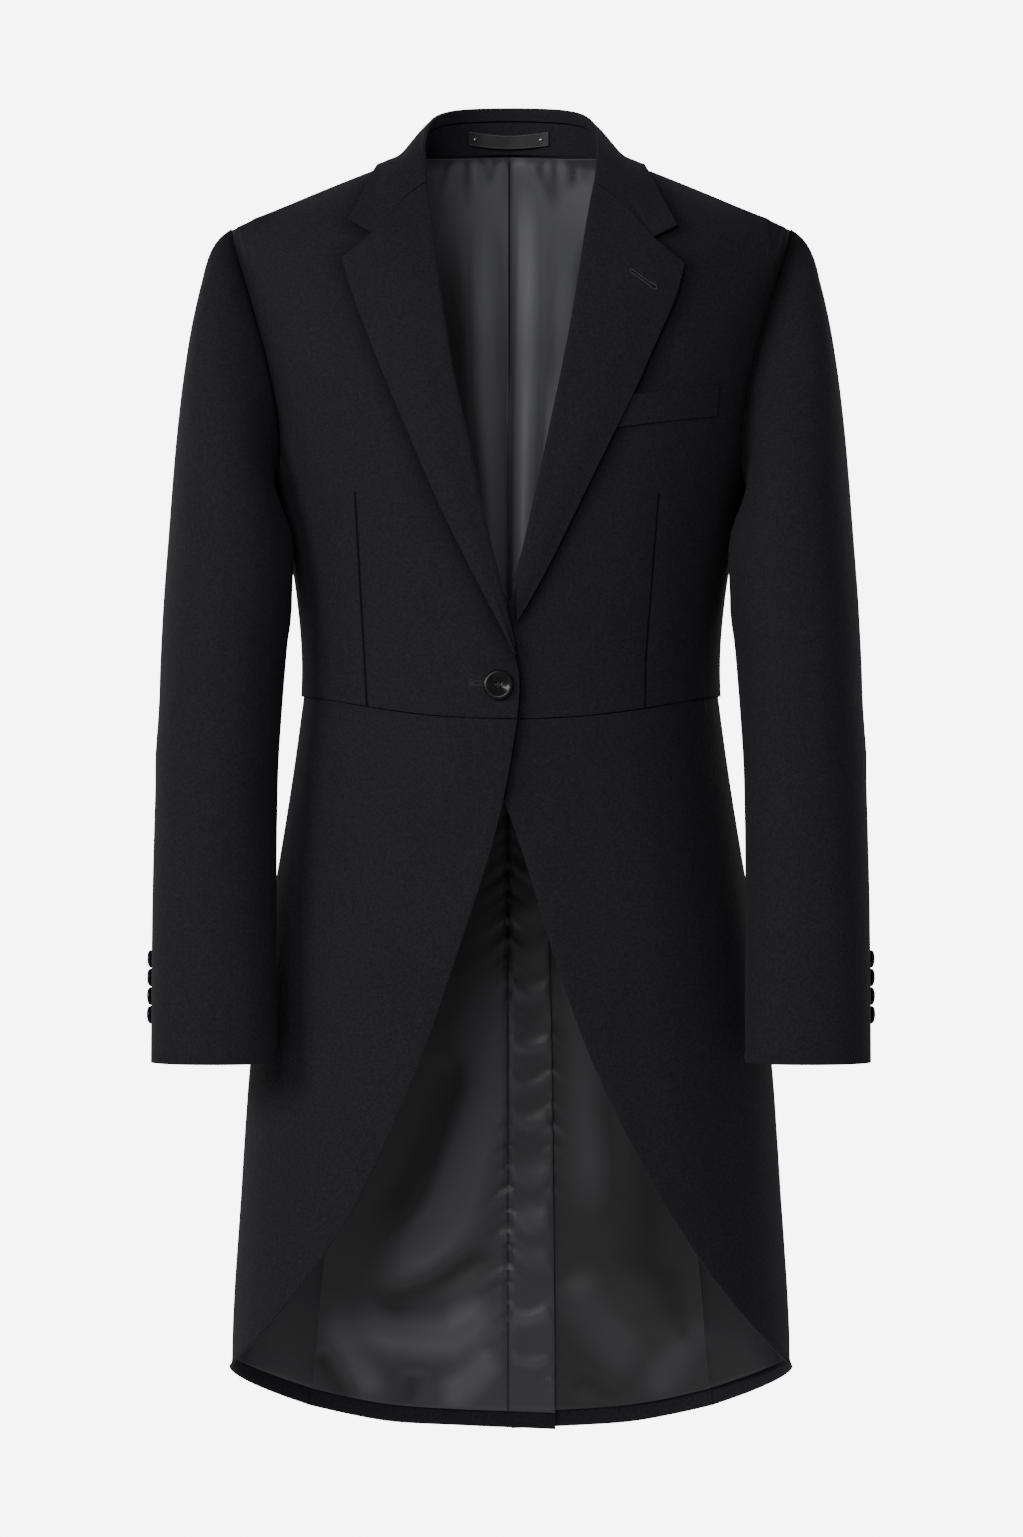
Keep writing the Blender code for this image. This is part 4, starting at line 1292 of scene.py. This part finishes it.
@dataclass
class Linings:
    """Satin linings of the back and the skirts, with their gathers, puckers and soft folds."""

    finishes: Finishes
    armholes: Armholes
    edge: float = 0.2 * MM
    # Reach at which the linings' rims take painted shade.
    seam_reach: float = 3 * MM
    slack: float = 2.4
    seam_x: float = -2.5
    strip_x: float = 33.0
    pucker: float = 16.0
    neck: tuple[tuple[float, ...], tuple[float, ...]] = ((0, 40, 62, 80), (15.5, 14, 9, 4))
    shoulder: tuple[float, float] = (220, -52)
    hem_z: float = -1021
    gathers: tuple[tuple[float, float, float], ...] = (
        # x, reach down, depth
        (-50, 34, 1.8), (-35, 46, 2.2), (-24, 22, 1.4), (-10.5, 30, 1.6), (14.5, 24, 1.3), (20, 38, 1.9),
        (27, 20, 1.5), (35, 42, 2.2), (46, 26, 1.5), (54, 34, 2.0), (61, 22, 1.5),
    )
    drapes: tuple[Fold, ...] = (
        Fold(((-24, -20), (-22, -160), (-14, -300), (-7, -400)), 11, 2.0),
        Fold(((-47, -30), (-43, -180), (-28, -330)), 9, -1.9),
        Fold(((-68, -40), (-62, -180), (-46, -300)), 14, -2.2),
        Fold(((12, 10), (12, -180), (10, -320), (8, -420)), 9, 2.4),
        Fold(((34, 0), (33, -150), (26, -260), (18, -380)), 6, -1.3),
        Fold(((47, -20), (44, -150), (34, -270)), 7, 0.9),
        Fold(((64, -30), (58, -160), (46, -250)), 14, -2.4),
        Fold(((-8, -620), (-24, -741), (-55, -850), (-112, -930)), 26, 4.6),
        Fold(((-30, -700), (-70, -800), (-112, -880)), 20, -2.6),
        Fold(((-3, -926), (-51, -953), (-97, -950), (-140, -930)), 17, 3.2),
        Fold(((-10, -876), (-60, -904), (-120, -930)), 14, -2.4),
        Fold(((-154, -925), (-128, -970), (-106, -1004)), 13, 2.4),
        Fold(((-160, -955), (-146, -982), (-132, -1004)), 9, -1.7),
        Fold(((-8, -962), (-34, -990), (-60, -1010)), 13, 2.4),
        Fold(((-80, -980), (-84, -1010)), 10, -1.6),
        Fold(((50, -640), (62, -740), (72, -870)), 24, 3.0),
        Fold(((86, -720), (100, -820), (108, -940)), 22, -2.0),
        Fold(((44, -900), (74, -945), (110, -984)), 20, 2.2),
        Fold(((160, -930), (138, -972), (112, -1002)), 14, 2.2),
        Fold(((52, -984), (76, -998), (90, -1012)), 12, -1.4),
        Fold(((124, -880), (132, -930), (152, -965)), 16, -1.5),
    )
    strip_folds: tuple[tuple[float, float], ...] = (
        # height, depth
        (-566, 0.9), (-601, 1.2), (-640, 0.8), (-664, 1.1), (-706, 1.3), (-742, 0.8),
        (-773, 1.2), (-815, 0.9), (-853, 1.3), (-886, 0.8), (-934, 1.4), (-968, 1.0),
    )

    def gather(self, x: np.ndarray, z: np.ndarray) -> np.ndarray:
        """Pleated pulls below the neck seam, in millimetres."""
        top = np.interp(np.abs(x) / MM, *self.neck)
        down = top - z / MM
        rise = np.zeros_like(x)
        for number, (place, reach, depth) in enumerate(self.gathers):
            lean = 0.34 * ((number % 3) - 1)
            off = x / MM - place - lean * down
            wide = 2.4 + 0.12 * np.clip(down, 0, 80)
            rise -= 0.95 * depth * bell(off / wide) * smooth(1.2 - down / reach)
        return rise

    def along_seams(self, x: np.ndarray, z: np.ndarray) -> np.ndarray:
        """Small puckers that point down and away from the tail's seams, in millimetres."""
        rise = np.zeros_like(x)
        waves = ((self.pucker, 0.0, 0.8), (self.pucker * 1.63, 1.1, 0.6), (self.pucker * 0.57, 2.3, 0.5))
        edges = ((self.seam_x, 9.0, 1.15), (self.strip_x, 6.0, 0.6))
        for edge, reach, depth in edges:
            off = np.abs(x / MM - edge)
            strength = depth * (0.6 + 0.4 * np.sin(z / MM / 41 + edge))
            for pitch, start, part in waves:
                wander = 1.2 * np.sin(z / MM / 29 + start)
                phase = 2 * np.pi * (z / MM + 0.75 * off) / pitch + start + wander
                rise += strength * part * np.cos(phase) * np.exp(-off / reach)
        for number, (height, depth) in enumerate(self.strip_folds):
            middle = (self.seam_x + self.strip_x) / 2 + 3 * math.sin(number * 2.3)
            dip = (5 + 2 * math.cos(number * 1.7)) * (1 - ((x / MM - middle) / 18) ** 2)
            inside = smooth((x / MM - self.seam_x) / 5) * smooth((self.strip_x + 1 - x / MM) / 5)
            tilt = 0.16 * math.sin(number * 3.1) * (x / MM - middle)
            rise += 1.1 * depth * bell((z / MM - height + dip + tilt) / (7.5 + 3 * math.sin(number))) * inside
        return rise * smooth((-470 - z / MM) / 60)

    def groove(self, x: np.ndarray, z: np.ndarray) -> np.ndarray:
        """Sharp fold beside the centre pleat of the back, and the tail's seam, in millimetres."""
        upper = smooth((z / MM + 500) / 30)
        pleat = -2.8 * bell((x / MM + 1.4) / 1.9) * upper
        seam = -1.6 * bell((x / MM - self.seam_x) / 1.3) * smooth((-455 - z / MM) / 20)
        return pleat + seam

    def relief(self, x: np.ndarray, y: np.ndarray, z: np.ndarray) -> np.ndarray:
        """Rise of the linings into the coat, the same on both sides of every seam.

        Args:
            x: x of each point.
            y: y of each point.
            z: height of each point.

        Returns:
            The move of each point out of the coat, which is negative where the lining swells.
        """
        run, height = self.neck
        top = np.interp(np.abs(x) / MM, (*run, self.shoulder[0]), (*height, self.shoulder[1]))
        slack = self.slack * smooth((top - z / MM) / 9)
        rise = sum(fold.height(x, z) for fold in self.drapes) / MM
        rise = rise + slack + self.gather(x, z) + self.along_seams(x, z) + self.groove(x, z)
        hem = smooth((z / MM - self.hem_z) / 12)
        inside = smooth((y / MM - 10) / 45) * self.armholes.away(x, y, z)
        return -np.maximum(rise, -0.25) * MM * hem * inside

    def build(self) -> dict[str, bpy.types.Object]:
        """Make the four linings.

        Returns:
            The pieces by node.
        """
        made = {}
        for side in Side:
            back, skirt = f"back_lining_{side.word}", f"skirt_lining_{side.word}"
            finish = self.finishes.satin[side]
            painted_shade = self.finishes.satin_deep
            for node, levels in ((back, 4), (skirt, 3)):
                made[node] = Cloth(node, Slot.SATIN, finish, painted_shade, levels, self.edge, relief=self.relief,
                                   seam_reach=self.seam_reach).build()
        return made


@dataclass
class Lapels:
    """Lapel leaves, and the buttonhole of the wearer's left one."""

    finishes: Finishes
    edge: float = 0.9 * MM
    # Reach at which the lapels' rims take painted shade; wide, so that the whole outline is painted dark.
    seam_reach: float = 6 * MM
    slit: tuple[tuple[float, float], tuple[float, float]] = ((0.0934, -0.0952), (0.1121, -0.1086))

    def build(self) -> dict[str, bpy.types.Object]:
        """Make both lapels and the buttonhole.

        Returns:
            The pieces by node.
        """
        made = {}
        for side in Side:
            node = f"lapel_{side.word}"
            # Pieces that cast painted shade on the lapel.
            over = ("lapel_right", "forepart_right") if side is Side.LEFT else ()
            made[node] = Cloth(node, Slot.WOOL, self.finishes.wool, self.finishes.wool_deep, 3, self.edge,
                               meet=0.0, seam_reach=self.seam_reach, shade_from=over).build()
        hole = Buttonhole("lapel_buttonhole", self.slit, made["lapel_left"], self.finishes,
                          self.finishes.grey_thread, eye=True)
        hole.build()
        return made


@dataclass
class Buttonhole:
    """A worked slit: purl stitches across its edges round a dark sheet of painted shadow in the opening."""

    name: str
    slit: tuple[tuple[float, float], tuple[float, float]]
    carrier: bpy.types.Object
    finishes: Finishes
    thread: bpy.types.Material
    eye: bool = False
    half_width: float = 1.15 * MM
    steps: int = 40
    stitch_lift: float = 0.12 * MM
    opening_lift: float = 0.05 * MM
    opening_share: float = 0.62
    opening_depth: float = 0.1 * MM

    def loop(self, reach: float) -> list[tuple[float, float]]:
        """Closed line round the slit at a reach, wider at the eye."""
        (ax, az), (bx, bz) = self.slit
        length = math.dist(*self.slit)
        ux, uz = (bx - ax) / length, (bz - az) / length
        points = []
        for step in range(self.steps):
            turn = 2 * math.pi * step / self.steps
            run = 0.5 - 0.5 * math.cos(turn)
            bulge = 1.0 + (0.7 * math.exp(-((run - 0.9) / 0.12) ** 2) if self.eye else 0.0)
            off = reach * bulge * (1 if math.sin(turn) >= 0 else -1) * min(1.0, 2.2 * abs(math.sin(turn)))
            end = (length + 2 * reach) * run - reach
            points.append((ax + ux * end - uz * off, az + uz * end + ux * off))
        return points

    def build(self) -> None:
        """Make the opening and its stitches."""
        over = Surface(self.carrier)
        rim = over.line(self.loop(self.half_width), self.stitch_lift)
        StitchRun(f"{self.name}_purl", rim, self.thread, Slot.WOOL, pitch=0.55 * MM, length=0.85 * MM,
                  thickness=0.40 * MM, lay=Lay.ACROSS, closed=True, wander=14).build()
        ring = over.line(self.loop(self.half_width * self.opening_share), self.opening_lift)
        # The opening is a near-black sheet of painted shadow laid over the slit.
        mesh = bpy.data.meshes.new(f"{self.name}_opening")
        middle = sum(ring, Vector()) / len(ring)
        faces = [(k, (k + 1) % len(ring), len(ring)) for k in range(len(ring))]
        mesh.from_pydata([tuple(p) for p in ring] + [tuple(middle)], [], faces)
        mesh.materials.append(self.finishes.shadow)
        made = add_object(f"{self.name}_opening", mesh)
        solid = made.modifiers.new("depth", "SOLIDIFY")
        solid.thickness = self.opening_depth
        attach(made, BODY)


@dataclass
class Collar:
    """Collar fall and stand."""

    finishes: Finishes
    fall_edge: float = 0.9 * MM
    stand_edge: float = 0.35 * MM
    # Reach at which the collar's rims take painted shade; wide, so that the whole outline is painted dark.
    seam_reach: float = 6 * MM

    def build(self) -> dict[str, bpy.types.Object]:
        """Make both pieces.

        Returns:
            The pieces by node.
        """
        wool, painted_shade = self.finishes.wool, self.finishes.wool_deep
        fall = Cloth("collar_fall", Slot.WOOL, wool, painted_shade, 3, self.fall_edge, girth=0.08, meet=0.0,
                     seam_reach=self.seam_reach).build()
        stand = Cloth("collar_stand", Slot.WOOL, wool, painted_shade, 3, self.stand_edge, girth=0.07, meet=0.0,
                      seam_reach=self.seam_reach).build()
        return {"collar_fall": fall, "collar_stand": stand}


@dataclass
class Sleeves:
    """Top and under sleeves, with soft breaks at the elbows."""

    finishes: Finishes
    armholes: Armholes
    girth: float = 0.052
    seam_gap: float = 3.6 * MM
    lap: float = 1.9
    shade_reach: float = 6 * MM
    underarm: float = 4.6
    breaks: tuple[tuple[float, float, float, float], ...] = (
        # height, turn from the front in degrees, spread in degrees, depth
        (-300, 100, 40, 1.5), (-352, 10, 34, -0.6), (-360, 95, 30, 1.2), (-396, 150, 30, 1.0),
        (-420, -60, 30, -0.8), (-448, 170, 30, -1.6), (-470, -80, 34, 0.8), (-500, 150, 34, 1.2),
        (-560, 20, 46, -0.5), (-610, -150, 40, 0.8), (-655, 60, 50, 0.4),
    )

    def relief(self, x: np.ndarray, y: np.ndarray, z: np.ndarray) -> np.ndarray:
        """Slanting breaks round the sleeve, mostly at its inner and back sides."""
        away = out_of_sleeve(x, y, z)
        turn = np.degrees(np.arctan2(away[:, 0] * np.sign(x) * -1, -away[:, 1]))
        rise = np.zeros_like(x)
        for height, place, spread, depth in self.breaks:
            off = (turn - place + 180) % 360 - 180
            line = z / MM - height - 0.35 * off
            rise += depth * bell(line / 15) * bell(off / spread)
        breaks = rise * smooth((-272 - z / MM) / 60) * smooth((z / MM + 705) / 40)
        over = self.armholes.away(x, y, z) ** 0.35
        underarm = self.underarm * bell((z / MM + 318) / 50) * bell((turn - 62) / 36) * over
        return (breaks + underarm) * MM

    def build(self) -> dict[str, bpy.types.Object]:
        """Make the four sleeve pieces.

        Returns:
            The pieces by node.
        """
        made = {}
        for side in Side:
            for part in ("top", "under"):
                node = f"sleeve_{part}_{side.word}"
                # Pieces that cast painted shade on the sleeve.
                over = (f"forepart_{side.word}", f"back_{side.word}", f"side_body_{side.word}")
                made[node] = Cloth(node, Slot.WOOL, self.finishes.wool, self.finishes.wool_deep, 2,
                                   outward=out_of_sleeve, relief=self.relief, girth=self.girth,
                                   gap=self.seam_gap, lap=self.lap, shade_from=over,
                                   shade_reach=self.shade_reach).build()
        return made


@dataclass
class Welt:
    """Breast welt."""

    finishes: Finishes
    edge: float = 0.25 * MM

    def build(self) -> dict[str, bpy.types.Object]:
        """Make the welt.

        Returns:
            The piece by node.
        """
        wool, painted_shade = self.finishes.wool, self.finishes.wool_deep
        welt = Cloth("breast_welt", Slot.WOOL, wool, painted_shade, 3, self.edge, meet=0.0)
        return {"breast_welt": welt.build()}


@dataclass
class Buttons:
    """Buttons, and the front one's buttonhole."""

    finishes: Finishes
    slit: tuple[tuple[float, float], tuple[float, float]] = ((-0.0190, -0.4168), (-0.0306, -0.4165))
    half_width: float = 1.7 * MM

    def build(self, forepart: bpy.types.Object) -> None:
        """Finish the buttons and work the buttonhole.

        Args:
            forepart: the wearer's right forepart, which the front button's slit is in.
        """
        for node in [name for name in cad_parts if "button" in name]:
            smooth_copy(node, self.finishes.horn)
        Buttonhole("front_buttonhole", self.slit, forepart, self.finishes, self.finishes.dark_thread,
                   eye=True, half_width=self.half_width).build()


@dataclass
class HangerLoop:
    """Leather strap with thread along its edges, and its pins."""

    finishes: Finishes
    ends: tuple[float, float] = (-0.0325, 0.029)
    edge: float = 0.3 * MM
    margin: float = 1.1 * MM
    reach: float = 4 * MM
    lift: float = 0.12 * MM
    steps: int = 24

    def build(self) -> None:
        """Dress the strap and its pins and sew its edges."""
        leather = self.finishes.leather
        loop = Cloth("hanger_loop", Slot.LEATHER, leather, leather, 3, self.edge, meet=0.0)
        fine = loop.refine()
        loop.round_edges(fine)
        mesh = bpy.data.meshes.new("hanger_loop_strap")
        fine.to_mesh(mesh)
        fine.free()
        mesh.shade_smooth()
        mesh.set_sharp_from_angle(angle=SHARP_ANGLE)
        mesh.materials.append(self.finishes.leather)
        strap = add_object("hanger_loop_strap", mesh)
        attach(strap, BODY)
        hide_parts("hanger_loop")
        place = np.array([v.co for v in mesh.vertices])
        over = Surface(strap)
        for name, edge in (("upper", 1), ("lower", -1)):
            line = []
            for x in np.linspace(*self.ends, self.steps):
                near = place[np.abs(place[:, 0] - x) < self.reach]
                height = near[:, 2].max() if edge > 0 else near[:, 2].min()
                line.append((float(x), float(height) - edge * self.margin))
            StitchRun(f"loop_stitches_{name}", over.line(line, self.lift), self.finishes.strap_thread,
                      Slot.LEATHER, pitch=2.1 * MM, length=1.5 * MM, thickness=0.44 * MM, wander=6).build()
        for side in Side:
            smooth_copy(f"loop_pin_{side.word}", self.finishes.steel)


@dataclass
class Studio:
    """Camera, pale ground and soft lights."""

    distance: float = 3.5
    centre: tuple[float, float] = (0.0004, -0.4824)
    view_height: float = 1.2296
    sensor: float = 36.0
    floor: float = -1.42
    floor_radius: float = 1.75
    even_light: float = 0.16
    white: float = 7.0
    lights: tuple[tuple[str, Point, float, float], ...] = (
        # name, place, side, power in watts
        ("front", (-0.9, -3.2, 0.6), 1.4, 33.0),
        ("key", (-2.7, -2.2, 0.6), 1.1, 38.0),
        ("fill", (2.4, -2.2, 0.0), 1.8, 1.5),
        ("rim_right", (-2.6, 2.0, 0.6), 1.8, 22.0),
        ("rim_left", (2.6, 2.0, 0.6), 1.8, 22.0),
    )

    def camera(self) -> None:
        """Camera straight in front of the coat's middle."""
        data = bpy.data.cameras.new("camera")
        data.sensor_fit = "VERTICAL"
        data.sensor_height = self.sensor
        data.lens = self.sensor * self.distance / self.view_height
        made = add_object("camera", data)
        made.location = (self.centre[0], -self.distance, self.centre[1])
        made.rotation_euler = (math.radians(90), 0, 0)
        bpy.context.scene.camera = made

    def ground(self) -> None:
        """Round floor at a little distance below the coat, whose edge fades into the white."""
        disc = bmesh.new()
        bmesh.ops.create_circle(disc, cap_ends=True, segments=64, radius=self.floor_radius)
        disc.transform(Matrix.Translation((0, 0, self.floor)))
        mesh = bpy.data.meshes.new("floor")
        disc.to_mesh(mesh)
        disc.free()
        mesh.materials.append(Paper(self.floor_radius).material("paper"))
        made = add_object("floor", mesh)

    def surround(self) -> None:
        """White all round for the eye, and a low even light on the coat."""
        world = bpy.data.worlds.new("studio")
        world.use_nodes = True
        tree = world.node_tree
        plain = (1.0, 1.0, 1.0, 1.0)
        lit = tree.nodes["Background"]
        lit.inputs["Color"].default_value = plain
        lit.inputs["Strength"].default_value = self.even_light
        seen = add_node(tree, "ShaderNodeBackground", None, {"Color": plain, "Strength": self.white})
        ray = add_node(tree, "ShaderNodeLightPath").outputs["Is Camera Ray"]
        chosen = add_node(tree, "ShaderNodeMixShader", None, {0: ray, 1: lit.outputs[0], 2: seen.outputs[0]})
        tree.links.new(chosen.outputs[0], tree.nodes["World Output"].inputs["Surface"])
        bpy.context.scene.world = world

    def light(self, name: str, place: Point, size: float, power: float) -> None:
        """Soft square light that faces the coat's middle.

        Args:
            name: its name.
            place: where it stands.
            size: its side.
            power: its power in watts.
        """
        data = bpy.data.lights.new(name, "AREA")
        data.shape = "SQUARE"
        data.size = size
        data.energy = power
        made = add_object(name, data)
        made.location = place
        aim = Vector((0, 0, self.centre[1])) - Vector(place)
        made.rotation_euler = aim.to_track_quat("-Z", "Y").to_euler()

    def build(self) -> None:
        """Set up the studio."""
        self.camera()
        self.ground()
        self.surround()
        for name, place, size, power in self.lights:
            self.light(name, place, size, power)


def main() -> None:
    """Build and dress the coat, in order."""
    logging.basicConfig(level=logging.INFO, format="%(name)s: %(message)s")
    finishes = Finishes.make()
    Studio().build()
    LOG.info("studio set up")
    armholes = Armholes()
    panels = Panels(finishes, armholes).build()
    Linings(finishes, armholes).build()
    Lapels(finishes).build()
    Collar(finishes).build()
    Sleeves(finishes, armholes).build()
    Welt(finishes).build()
    Buttons(finishes).build(panels["forepart_right"])
    HangerLoop(finishes).build()
    bpy.context.view_layer.update()


if __name__ == "__main__":
    main()
